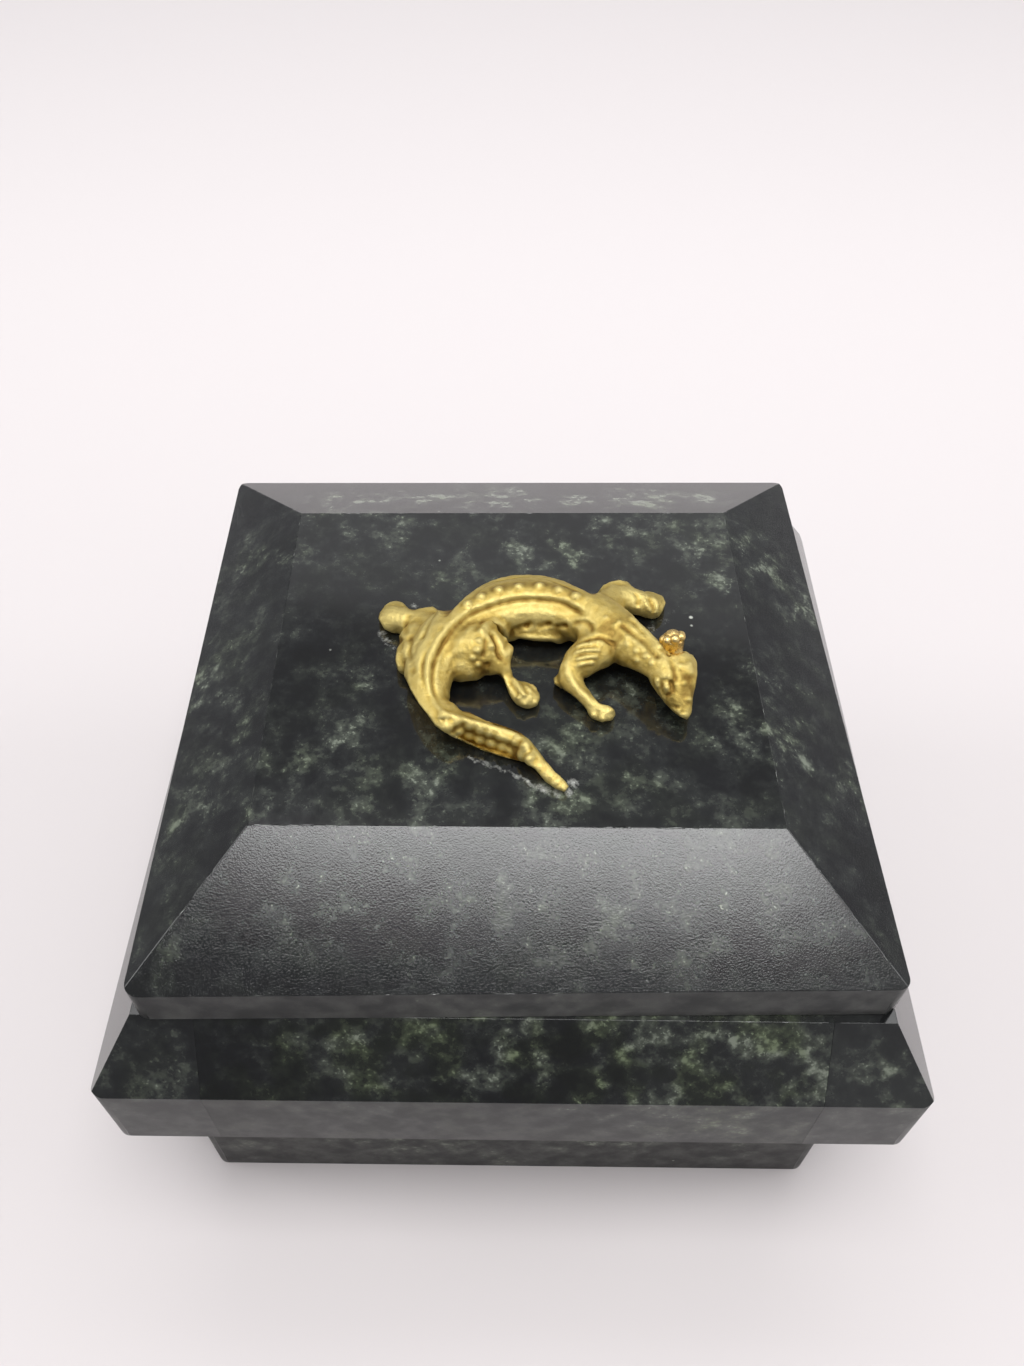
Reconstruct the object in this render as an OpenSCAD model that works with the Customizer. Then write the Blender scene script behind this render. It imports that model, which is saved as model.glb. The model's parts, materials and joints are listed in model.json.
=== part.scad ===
// Stone trinket box: four low walls round a floor, an overhanging moulded rim of
// four butt-jointed strips, and a bevelled lift-off lid that carries a cast brass lizard.
// Millimetres, +Z up. The origin is the centre of the underside. The front faces -Y.

/* [Lower box] */
// Outside width of the lower box
box_w = 89; // [70:0.5:96]
// Outside depth of the lower box, from front to back
box_d = 87.5; // [70:0.5:96]
// Thickness of its stone walls
wall_t = 7.75; // [4:0.25:12]
// Height of the walls
box_h = 31.2; // [15:0.1:60]
// Thickness of the floor plate
floor_t = 6; // [3:0.5:10]

/* [Rim] */
// Outside width and depth of the overhanging rim
rim_w = 100; // [97:0.5:120]
// Height of the rim's upright band
band_h = 13.1; // [6:0.1:20]
// Height of the rim's sloping facet
facet_h = 10; // [4:0.1:16]
// How far the facet leans in from the band to its top
facet_run = 6; // [2:0.1:6]

/* [Lid] */
// Outside width and depth of the lid
lid_w = 87.5; // [80:0.5:96]
// Height of the lid's upright edge
lid_edge_h = 6.2; // [3:0.1:10]
// Height of the bevels above that edge
bevel_h = 7.9; // [4:0.1:12]
// How far the left and right bevels run in
side_bevel_run = 12.8; // [6:0.1:16]
// How far the front and back bevels run in
front_bevel_run = 16.6; // [8:0.1:18]
// Turn of the front bevel away from the lid's front edge, in degrees
front_bevel_turn = 0.8; // [0:0.1:1.5]
// Thickness of the plate under the lid that keeps it in place
plate_t = 4; // [2:0.5:8]
// Room round that plate, on each side
plate_clear = 1.25; // [1.2:0.05:3]
// How far the loose lid sits turned on the box, in degrees
lid_turn = 1.1; // [0:0.1:1.2]
// How far the loose lid sits to the left of the middle
lid_offset = 0.3; // [0:0.05:0.3]

/* [Stone edges] */
// Radius of the upright corners
corner_r = 1.7; // [0.5:0.1:3]

/* [Lizard] */
// Radius of the arch that the lizard's back follows
arch_r = 13.2; // [11:0.1:14]
// Thickness of the body at the middle of the back
back_d = 8.2; // [6:0.1:9]
// Thickness of the body at the shoulders
shoulder_d = 7.6; // [6:0.1:8.5]
// Thickness of the neck
neck_d = 6; // [4.5:0.1:7]
// Thickness of the head
head_d = 5.2; // [4:0.1:6]
// Thickness of the snout
snout_d = 2.4; // [1.5:0.1:3.5]
// Thickness of the tail at its root
tail_d = 5.2; // [3.5:0.1:6]
// Thickness of the tail at its tip
tail_tip_d = 1.8; // [1.2:0.1:2.5]
// Thickness of the hind thigh
thigh_d = 7; // [5:0.1:8]
// Thickness of the fore leg at the shoulder
arm_d = 5.6; // [4:0.1:6.5]
// Thickness of a leg at its ankle
ankle_d = 2; // [1.2:0.1:2.6]
// Width of a paw
paw_d = 3.2; // [2.4:0.1:4]

/* [Crest knob] */
// Diameter of the knob on the lizard's head
knob_d = 2.2; // [1.6:0.1:3]
// Diameter of each lobe round the knob
lobe_d = 1.2; // [0.8:0.1:1.6]
// Number of lobes round the knob
lobes = 7; // [5:1:9]
// Diameter of the knob's stem
stem_d = 1.8; // [1:0.1:1.8]
// Length of the stem
stem_len = 1.2; // [1.2:0.1:2.4]
// Room round the stem in its socket
stem_clear = 0.1; // [0.05:0.05:0.3]
// Lean of the knob backwards, in degrees
knob_lean = 38; // [0:1:50]

/* [Hidden] */
$fn = 64;
eps = 0.01;
stone_colour = "#343a34";
brass_colour = "#b8963c";
bright_brass_colour = "#c79a50";

inner_w = box_w - 2 * wall_t;
inner_d = box_d - 2 * wall_t;
strip_w = (rim_w - inner_w) / 2;
strip_d = (rim_w - inner_d) / 2;
rim_h = band_h + facet_h;
lid_z = box_h + rim_h;
lid_h = lid_edge_h + bevel_h;
plate_w = inner_w - 2 * plate_clear;
plate_d = inner_d - 2 * plate_clear;

// How flat the casting is: its height over its width
flatness = 0.86;
// Sides of a limb's section, steps between two of its balls, and steps of its round ends
limb_sides = 16;
curve_steps = 3;
cap_steps = 2;
// Centre of the lizard's arch, from the middle of the lid
arch_x = 2.2;
arch_y = -8.1;
// Angles on the arch of the shoulders, the middle of the back, the rump and the tail's root
shoulder_a = 45;
back_a = 90;
rump_a = 150;
root_a = 195;
arch_step = 15;

// A point of the arch, on the lid
function arch(a) = [arch_x + arch_r * cos(a), arch_y + arch_r * sin(a)];
// A ball of a limb: its place on the lid from a landmark, the height of its middle, its diameter
function ball_at(mark, dx, dy, z, d) = [mark.x + dx, mark.y + dy, z, d];
// Thickness of the body at an angle of the arch
function girth(a) = lookup(a, [
    [shoulder_a, shoulder_d], [back_a, back_d], [rump_a, back_d - 0.8], [root_a, tail_d]
]);
// Height of the middle of the body at an angle of the arch
function lift(a) = lookup(a, [[shoulder_a, 3.2], [rump_a, 3], [root_a, 2.1]]);

shoulder = arch(shoulder_a);
rump = arch(rump_a);
root = arch(root_a);

tail = [
    ball_at(root, 16, -10.7, 0.7, tail_tip_d),
    ball_at(root, 12.9, -7.7, 1.3, tail_tip_d + 1),
    ball_at(root, 10.1, -5.6, 1.8, tail_d - 1),
    ball_at(root, 5.9, -4.1, 2, tail_d - 0.6),
    ball_at(root, 1.9, -1.8, 2.1, tail_d - 0.2)
];
trunk = [for (a = [root_a:-arch_step:shoulder_a]) ball_at(arch(a), 0, 0, lift(a), girth(a))];
neck_and_head = [
    ball_at(shoulder, 3.7, -4.1, 3.6, neck_d),
    ball_at(shoulder, 6.5, -7.5, 4, head_d),
    ball_at(shoulder, 7.9, -9.8, 3.5, head_d),
    ball_at(shoulder, 8.8, -13.4, 2.2, snout_d)
];
backbone = concat(tail, trunk, neck_and_head);
head_top = [
    ball_at(shoulder, 8.7, -7.5, 4.4, head_d - 1.2),
    ball_at(shoulder, 9.3, -9.6, 3.7, head_d - 1.4)
];
near_hind_leg = [
    ball_at(rump, 1.6, -0.6, 3, thigh_d),
    ball_at(rump, 5.2, -1.3, 3.2, thigh_d),
    ball_at(rump, 7.5, -3.7, 2.2, ankle_d + 1.2),
    ball_at(rump, 8, -4.9, 1.6, ankle_d),
    ball_at(rump, 10.3, -7.3, 1.1, paw_d)
];
far_hind_leg = [
    ball_at(rump, -0.3, 1.9, 2.6, thigh_d - 1.8),
    ball_at(rump, -2.6, 4.4, 2, ankle_d + 1.6),
    ball_at(rump, -6.8, 6.2, 1.2, paw_d + 0.6)
];
hip = [
    ball_at(rump, 0, -0.9, 2.6, thigh_d - 1),
    ball_at(rump, -3.2, -0.9, 2.2, thigh_d - 2)
];
near_fore_leg = [
    ball_at(shoulder, -0.6, -2, 3.2, arm_d),
    ball_at(shoulder, -1.5, -4.3, 3.2, arm_d),
    ball_at(shoulder, -4.7, -7, 2.4, arm_d - 1.8),
    ball_at(shoulder, -3.5, -10, 1.7, ankle_d + 0.4),
    ball_at(shoulder, -0.8, -12.5, 1.1, paw_d)
];
far_fore_leg = [
    ball_at(shoulder, 0, 1.6, 2.8, arm_d - 0.8),
    ball_at(shoulder, 1.9, 6.2, 2.2, arm_d - 1.6),
    ball_at(shoulder, 6.7, 5.5, 1.3, paw_d + 0.4)
];

// Where the knob's stem meets the head, and which way the knob leans
knob_seat = [shoulder.x + 8.4, shoulder.y - 6.6, 5];
knob_swing = 22;

// Rectangle with round corners
module rounded_outline(w, d) {
    square([w, d - 2 * corner_r], center = true);
    square([w - 2 * corner_r, d], center = true);
    for (x = [-1, 1], y = [-1, 1])
        translate([x * (w / 2 - corner_r), y * (d / 2 - corner_r)]) circle(corner_r);
}

module rounded_block(w, d, h) {
    linear_extrude(h) rounded_outline(w, d);
}

// Upright profile of the rim, from side to side
module rim_profile() {
    polygon([
        [-rim_w / 2, 0], [rim_w / 2, 0], [rim_w / 2, band_h], [rim_w / 2 - facet_run, rim_h],
        [facet_run - rim_w / 2, rim_h], [-rim_w / 2, band_h]
    ]);
}

// The whole rim before it is parted into strips
module rim_ring() {
    translate([0, 0, box_h])
        difference() {
            intersection() {
                rounded_block(rim_w, rim_w, rim_h);
                rotate([90, 0, 0]) linear_extrude(rim_w, center = true) rim_profile();
                rotate([90, 0, 90]) linear_extrude(rim_w, center = true) rim_profile();
            }
            translate([0, 0, rim_h / 2]) cube([inner_w, inner_d, rim_h + 2 * eps], center = true);
        }
}

// A side strip runs the whole depth, with its ends in sight
module rim_side(side) {
    color(stone_colour) intersection() {
        rim_ring();
        translate([side * (inner_w + strip_w) / 2, 0, box_h + rim_h / 2])
            cube([strip_w, rim_w, rim_h], center = true);
    }
}

// A front or back strip fits between the side strips
module rim_between(side) {
    color(stone_colour) intersection() {
        rim_ring();
        translate([0, side * (inner_d + strip_d) / 2, box_h + rim_h / 2])
            cube([inner_w, strip_d, rim_h], center = true);
    }
}

// A front or back wall runs the whole width of the lower box
module wall_across(side) {
    color(stone_colour) intersection() {
        rounded_block(box_w, box_d, box_h);
        translate([0, side * (inner_d + wall_t) / 2, box_h / 2]) cube([box_w, wall_t, box_h], center = true);
    }
}

// A side wall fits between the front and back walls
module wall_between(side) {
    color(stone_colour)
        translate([side * (inner_w + wall_t) / 2, 0, box_h / 2]) cube([wall_t, inner_d, box_h], center = true);
}

module floor_plate() {
    color(stone_colour) translate([0, 0, floor_t / 2]) cube([inner_w, inner_d, floor_t], center = true);
}

module wall_front() { wall_across(-1); }
module wall_back() { wall_across(1); }
module wall_left() { wall_between(-1); }
module wall_right() { wall_between(1); }
module rim_front() { rim_between(-1); }
module rim_back() { rim_between(1); }
module rim_left() { rim_side(-1); }
module rim_right() { rim_side(1); }

// Puts what belongs to the lid on the box, as the loose lid sits
module on_box(height) {
    translate([-lid_offset, 0, lid_z + height]) rotate([0, 0, lid_turn]) children();
}

// The wedge of stone that a bevel takes off the lid's front edge
module bevel_cut(run, turn) {
    slope = bevel_h / run;
    over = lid_w / 4;
    translate([0, -lid_w / 2, lid_edge_h]) rotate([0, 0, turn]) rotate([90, 0, 90])
        linear_extrude(2 * lid_w, center = true)
            polygon([
                [-over, -over * slope], [run + over, bevel_h + over * slope],
                [run + over, lid_w], [-over, lid_w]
            ]);
}

module lid_slab() {
    color(stone_colour) on_box(0) difference() {
        rounded_block(lid_w, lid_w, lid_h);
        bevel_cut(front_bevel_run, -front_bevel_turn);
        rotate([0, 0, 180]) bevel_cut(front_bevel_run, 0);
        rotate([0, 0, 90]) bevel_cut(side_bevel_run, 0);
        rotate([0, 0, -90]) bevel_cut(side_bevel_run, 0);
    }
}

module lid_plate() {
    color(stone_colour) on_box(-plate_t) rounded_block(plate_w, plate_d, plate_t);
}

// A point of the smooth curve through four balls, part of the way from the second to the third
function curve_point(a, b, c, d, t) =
    (2 * b + (c - a) * t + (2 * a - 5 * b + 4 * c - d) * t ^ 2 + (3 * b - a - 3 * c + d) * t ^ 3) / 2;
// The smooth curve through all the balls of a limb
function curve(balls) =
    let (last = len(balls) - 1)
    [
        for (i = [0:last - 1], j = [0:curve_steps - 1])
            curve_point(balls[max(i - 1, 0)], balls[i], balls[i + 1], balls[min(i + 2, last)], j / curve_steps),
        balls[last]
    ];
function place(b) = [b[0], b[1], b[2]];
function unit(v) = v / norm(v);
// Direction of a curve at one of its points
function heading(path, i) = unit(place(path[min(i + 1, len(path) - 1)]) - place(path[max(i - 1, 0)]));
// One oval section of a limb: its middle moved along the heading, its width drawn in
function section(b, way, along, share) =
    let (side = unit(cross(way, [0, 0, 1])), up = cross(side, way), r = b[3] / 2)
    [
        for (k = [0:limb_sides - 1])
            let (a = k * 360 / limb_sides)
            place(b) + way * along * r + share * r * (side * cos(a) + up * flatness * sin(a))
    ];

// A limb swept through its balls, with round ends
module limb(balls) {
    path = curve(balls);
    last = len(path) - 1;
    first_way = heading(path, 0);
    last_way = heading(path, last);
    cap_angles = [for (c = [1:cap_steps]) 90 * c / (cap_steps + 1)];
    sections = concat(
        [for (c = [cap_steps - 1:-1:0]) section(path[0], first_way, -sin(cap_angles[c]), cos(cap_angles[c]))],
        [for (i = [0:last]) section(path[i], heading(path, i), 0, 1)],
        [for (a = cap_angles) section(path[last], last_way, sin(a), cos(a))]
    );
    rings = len(sections);
    poles = [
        place(path[0]) - first_way * path[0][3] / 2,
        place(path[last]) + last_way * path[last][3] / 2
    ];
    first_pole = rings * limb_sides;
    last_ring = first_pole - limb_sides;
    polyhedron(
        points = concat([for (ring = sections, p = ring) p], poles),
        faces = concat(
            [for (k = [0:limb_sides - 1]) [first_pole, (k + 1) % limb_sides, k]],
            [
                for (i = [0:rings - 2], k = [0:limb_sides - 1])
                    let (a = i * limb_sides + k, b = i * limb_sides + (k + 1) % limb_sides)
                    each [[a, b, b + limb_sides], [a, b + limb_sides, a + limb_sides]]
            ],
            [for (k = [0:limb_sides - 1]) [first_pole + 1, last_ring + k, last_ring + (k + 1) % limb_sides]]
        )
    );
}

// Puts the knob's parts on its leaning axis, from the seat of its stem
module on_head() {
    translate(knob_seat) rotate([0, 0, knob_swing]) rotate([-knob_lean, 0, 0]) children();
}

// Flat-backed casting that stands on the lid, with a socket for the knob's stem
module lizard() {
    reach = 2 * lid_w;
    color(brass_colour) on_box(lid_h) difference() {
        union() {
            limb(backbone);
            limb(head_top);
            limb(near_hind_leg);
            limb(far_hind_leg);
            limb(hip);
            limb(near_fore_leg);
            limb(far_fore_leg);
        }
        translate([0, 0, -reach / 2]) cube(reach, center = true);
        on_head() cylinder(d = stem_d + 2 * stem_clear, h = reach);
    }
}

module crest_knob() {
    color(bright_brass_colour) on_box(lid_h) on_head() {
        cylinder(d = stem_d, h = stem_len + knob_d / 2);
        translate([0, 0, stem_len + knob_d / 2]) {
            sphere(d = knob_d);
            for (i = [0:lobes - 1])
                rotate([0, 0, i * 360 / lobes]) translate([knob_d / 2, 0, 0]) sphere(d = lobe_d);
        }
    }
}

floor_plate();
wall_front();
wall_back();
wall_left();
wall_right();
rim_front();
rim_back();
rim_left();
rim_right();
lid_slab();
lid_plate();
lizard();
crest_knob();
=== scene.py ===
import json
import logging
import math
from collections.abc import Iterable
from dataclasses import dataclass, field
from enum import Enum

import bmesh
import bpy
import numpy as np
from mathutils import Matrix, Vector, noise
from mathutils.bvhtree import BVHTree

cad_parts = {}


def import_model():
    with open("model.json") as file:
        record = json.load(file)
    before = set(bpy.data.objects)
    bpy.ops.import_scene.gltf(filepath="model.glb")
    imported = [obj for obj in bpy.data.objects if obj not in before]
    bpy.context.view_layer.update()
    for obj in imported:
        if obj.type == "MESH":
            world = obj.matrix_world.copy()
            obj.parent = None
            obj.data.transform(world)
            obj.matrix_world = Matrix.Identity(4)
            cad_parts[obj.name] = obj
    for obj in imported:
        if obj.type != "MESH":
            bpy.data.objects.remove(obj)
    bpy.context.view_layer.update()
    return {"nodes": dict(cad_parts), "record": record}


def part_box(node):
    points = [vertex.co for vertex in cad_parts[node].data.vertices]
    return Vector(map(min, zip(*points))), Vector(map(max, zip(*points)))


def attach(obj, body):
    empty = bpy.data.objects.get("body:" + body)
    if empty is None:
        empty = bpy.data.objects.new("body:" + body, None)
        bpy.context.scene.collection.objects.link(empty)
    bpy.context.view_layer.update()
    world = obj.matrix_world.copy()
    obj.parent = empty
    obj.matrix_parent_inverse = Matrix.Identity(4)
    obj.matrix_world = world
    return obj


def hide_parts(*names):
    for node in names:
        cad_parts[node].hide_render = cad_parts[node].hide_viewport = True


MM = 0.001
LOG = logging.getLogger("trinket_box")
# Nearly all of a noise texture's values lie in this span.
NOISE_SPAN = (0.3, 0.7)

Pixel = tuple[float, float]


class Slot(Enum):
    """The record's material slots."""

    SERPENTINE = "serpentine"
    CAST_BRASS = "cast_brass"
    BRIGHT_BRASS = "bright_brass"


class Body(Enum):
    """The two halves of the box, which the lid's lift takes apart."""

    BOX = "box"
    LID = "lid"


def linear(colour: str) -> tuple[float, float, float, float]:
    """Turns an sRGB hex colour into linear light.

    Args:
        colour: Six hex digits after a hash.

    Returns:
        Red, green and blue in linear light, and an alpha of one.
    """
    parts = [int(colour[i:i + 2], 16) / 255 for i in (1, 3, 5)]
    light = [c / 12.92 if c <= 0.04045 else ((c + 0.055) / 1.055) ** 2.4 for c in parts]
    return (*light, 1.0)


def add_node(tree: bpy.types.NodeTree, kind: str, settings: dict | None = None,
             inputs: dict | None = None) -> bpy.types.Node:
    """Adds one node with its settings and links.

    Args:
        tree: The node tree that gets the node.
        kind: Blender's name for the kind of node.
        settings: Properties of the node, by name.
        inputs: For each input, by name or index, a constant or the output to link to it.

    Returns:
        The new node.
    """
    node = tree.nodes.new(kind)
    for name, value in (settings or {}).items():
        setattr(node, name, value)
    for key, value in (inputs or {}).items():
        if isinstance(value, bpy.types.NodeSocket):
            tree.links.new(value, node.inputs[key])
        else:
            node.inputs[key].default_value = value
    return node


def new_material(name: str) -> tuple[bpy.types.Material, bpy.types.NodeTree]:
    """Makes an empty node material.

    Args:
        name: The material's name.

    Returns:
        The material and its node tree, which has no nodes yet.
    """
    material = bpy.data.materials.new(name)
    material.use_nodes = True
    material.node_tree.nodes.clear()
    return material, material.node_tree


def smooth(share: np.ndarray) -> np.ndarray:
    """Eases a share from 0 to 1 in and out."""
    return share * share * (3 - 2 * share)


def place(name: str, mesh: bpy.types.Mesh, material: bpy.types.Material, body: Body,
          stands_for: str) -> bpy.types.Object:
    """Shows a finished mesh as a piece of the object.

    Args:
        name: The piece's name.
        mesh: Its mesh, in the frame's own metres.
        material: Its finish.
        body: The body that it moves with.
        stands_for: The CAD node that it replaces.

    Returns:
        The new object.
    """
    piece = bpy.data.objects.new(name, mesh)
    bpy.context.scene.collection.objects.link(piece)
    mesh.materials.clear()
    mesh.materials.append(material)
    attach(piece, body.value)
    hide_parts(stands_for)
    LOG.info("%s: %d faces on %s", name, len(mesh.polygons), body.value)
    return piece


@dataclass(frozen=True)
class PhotoCamera:
    """The photograph's viewpoint, found from the box's corners."""

    frame_px: Pixel = (1024, 1366)
    focal_px: float = 1102.0
    film_mm: float = 36.0
    nearest_m: float = 0.01
    pitch_deg: float = 49.61
    yaw_deg: float = -0.03
    roll_deg: float = 0.65
    place_mm: tuple[float, float, float] = (-0.59, -96.40, 175.24)

    def turn(self) -> Matrix:
        """Gives the camera's rotation, which looks along its own -Z."""
        return (Matrix.Rotation(math.radians(-self.yaw_deg), 3, "Z")
                @ Matrix.Rotation(math.radians(90 - self.pitch_deg), 3, "X")
                @ Matrix.Rotation(math.radians(self.roll_deg), 3, "Z"))

    def eye(self) -> Vector:
        """Gives the camera's place in metres."""
        return Vector(self.place_mm) * MM

    def ray(self, pixel: Pixel) -> Vector:
        """Gives the direction in which the camera sees a pixel.

        Args:
            pixel: Column and row in the photograph.

        Returns:
            A unit vector.
        """
        across = (pixel[0] - self.frame_px[0] / 2) / self.focal_px
        down = (pixel[1] - self.frame_px[1] / 2) / self.focal_px
        return (self.turn() @ Vector((across, -down, -1.0))).normalized()

    def on_level(self, pixel: Pixel, height: float) -> Vector:
        """Finds where a pixel's ray meets a level plane.

        Args:
            pixel: Column and row in the photograph.
            height: The plane's height in metres.

        Returns:
            The point on the plane.
        """
        ray = self.ray(pixel)
        return self.eye() + ray * ((height - self.eye().z) / ray.z)

    def pixels(self, points: np.ndarray) -> np.ndarray:
        """Finds where points appear in the photograph.

        Args:
            points: A row for each point, in metres.

        Returns:
            A row of column and row numbers for each.
        """
        local = (points - np.array(self.eye())) @ np.array(self.turn())
        flat = self.focal_px * local[:, :2] / -local[:, 2:]
        return np.array(self.frame_px) / 2 + flat * (1, -1)

    def at_heights(self, pixels: np.ndarray, heights: np.ndarray) -> np.ndarray:
        """Finds the points at given heights that appear at given pixels.

        Args:
            pixels: A row of column and row numbers for each point.
            heights: Each point's height in metres.

        Returns:
            A row for each point, in metres.
        """
        flat = (pixels - np.array(self.frame_px) / 2) / self.focal_px * (1, -1)
        rays = np.column_stack((flat, -np.ones(len(flat)))) @ np.array(self.turn()).T
        eye = np.array(self.eye())
        return eye + rays * ((heights - eye[2]) / rays[:, 2])[:, None]

    def build(self) -> None:
        """Adds the camera and makes it the scene's own."""
        data = bpy.data.cameras.new("photo_camera")
        data.sensor_width = self.film_mm
        data.lens = self.focal_px * self.film_mm / max(self.frame_px)
        data.clip_start = self.nearest_m
        camera = bpy.data.objects.new("photo_camera", data)
        camera.matrix_world = Matrix.Translation(self.eye()) @ self.turn().to_4x4()
        bpy.context.scene.collection.objects.link(camera)
        bpy.context.scene.camera = camera


@dataclass(frozen=True)
class Patches:
    """Soft patches in a rock: their width, the noise levels where they start and are full, their detail."""

    size_mm: float
    start: float
    full: float
    detail: float = 2.0


@dataclass(frozen=True)
class Serpentine:
    """Serpentine, sawn and hand polished: near-black green, clouded with grey, flecked, a little pitted,
    with pale specks that are partly grains of the rock and partly painted glints.
    """

    cut_from: tuple[float, float, float]
    cloudiness: float = 0.0
    greenness: float = 0.4
    shine: float = 0.5
    banked: bool = False
    deep: str = "#0c0c0d"
    ground: str = "#131415"
    haze: str = "#222423"
    cloud: str = "#3f433c"
    pale: str = "#71776b"
    green: str = "#dde6c9"
    speck: str = "#c4c8be"
    wear: str = "#8d908a"
    honed: str = "#464543"
    glue: str = "#b4b6b0"
    tone_levels: tuple[float, ...] = (0.22, 0.45, 0.72)
    ior: float = 1.56
    roughness: float = 0.1
    uneven: tuple[float, float] = (0.8, 1.25)
    honed_roughness: float = 0.45
    upright: tuple[float, float] = (0.3, 0.15)
    sloping: tuple[float, float] = (0.995, 0.94)
    cut_turn: tuple[float, float, float] = (0.4, 0.7, 0.2)
    clusters: Patches = Patches(11.0, 0.36, 0.64)
    clouds: Patches = Patches(3.2, 0.33, 0.74, 4.0)
    small_clouds: Patches = Patches(1.1, 0.3, 0.74, 4.0)
    flecks: Patches = Patches(0.45, 0.55, 0.8)
    shades: Patches = Patches(24.0, 0.35, 0.62, 3.0)
    greens: Patches = Patches(5.5, 0.42, 0.62)
    flakes: Patches = Patches(1.3, 0.4, 0.65, 3.0)
    mottles: Patches = Patches(3.2, 0.3, 0.7, 5.0)
    cluster_weight: tuple[float, float] = (0.75, 0.4)
    cloud_weight: tuple[float, float] = (0.9, 0.2)
    small_weight: tuple[float, float] = (0.6, 0.55)
    mottle_weight: tuple[float, float] = (0.6, 0.42)
    fleck_weight: float = 0.8
    shade_weight: float = 0.2
    speck_mm: float = 3.6
    speck_chance: float = 0.85
    speck_size: float = 0.1
    speck_fade: float = 0.05
    speck_share: float = 0.8
    grain_mm: float = 0.2
    grain_depth_mm: float = 0.016
    crumb_mm: float = 0.3
    crumb_levels: tuple[float, float] = (0.22, 0.6)
    film_share: float = 0.9

    def material(self, name: str) -> bpy.types.Material:
        """Builds the finish.

        Args:
            name: The material's name.

        Returns:
            The material.
        """
        material, tree = new_material(name)
        surface = add_node(tree, "ShaderNodeTexCoord").outputs["Object"]
        in_mm = add_node(tree, "ShaderNodeMapping", inputs={
            "Vector": surface, "Location": self.cut_from, "Rotation": self.cut_turn,
            "Scale": (1 / MM,) * 3}).outputs["Vector"]
        stone = StoneNodes(self, tree, in_mm)
        colour = stone.wear(stone.specks_and_glints(stone.hone(stone.clouds())))
        rough, normal = stone.polish()
        if self.banked:
            colour, rough = stone.glue(colour, rough)
        shader = add_node(tree, "ShaderNodeBsdfPrincipled", inputs={
            "Base Color": colour, "Roughness": rough, "Normal": normal, "IOR": self.ior,
            "Specular IOR Level": self.shine})
        add_node(tree, "ShaderNodeOutputMaterial", inputs={"Surface": shader.outputs["BSDF"]})
        return material


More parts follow.
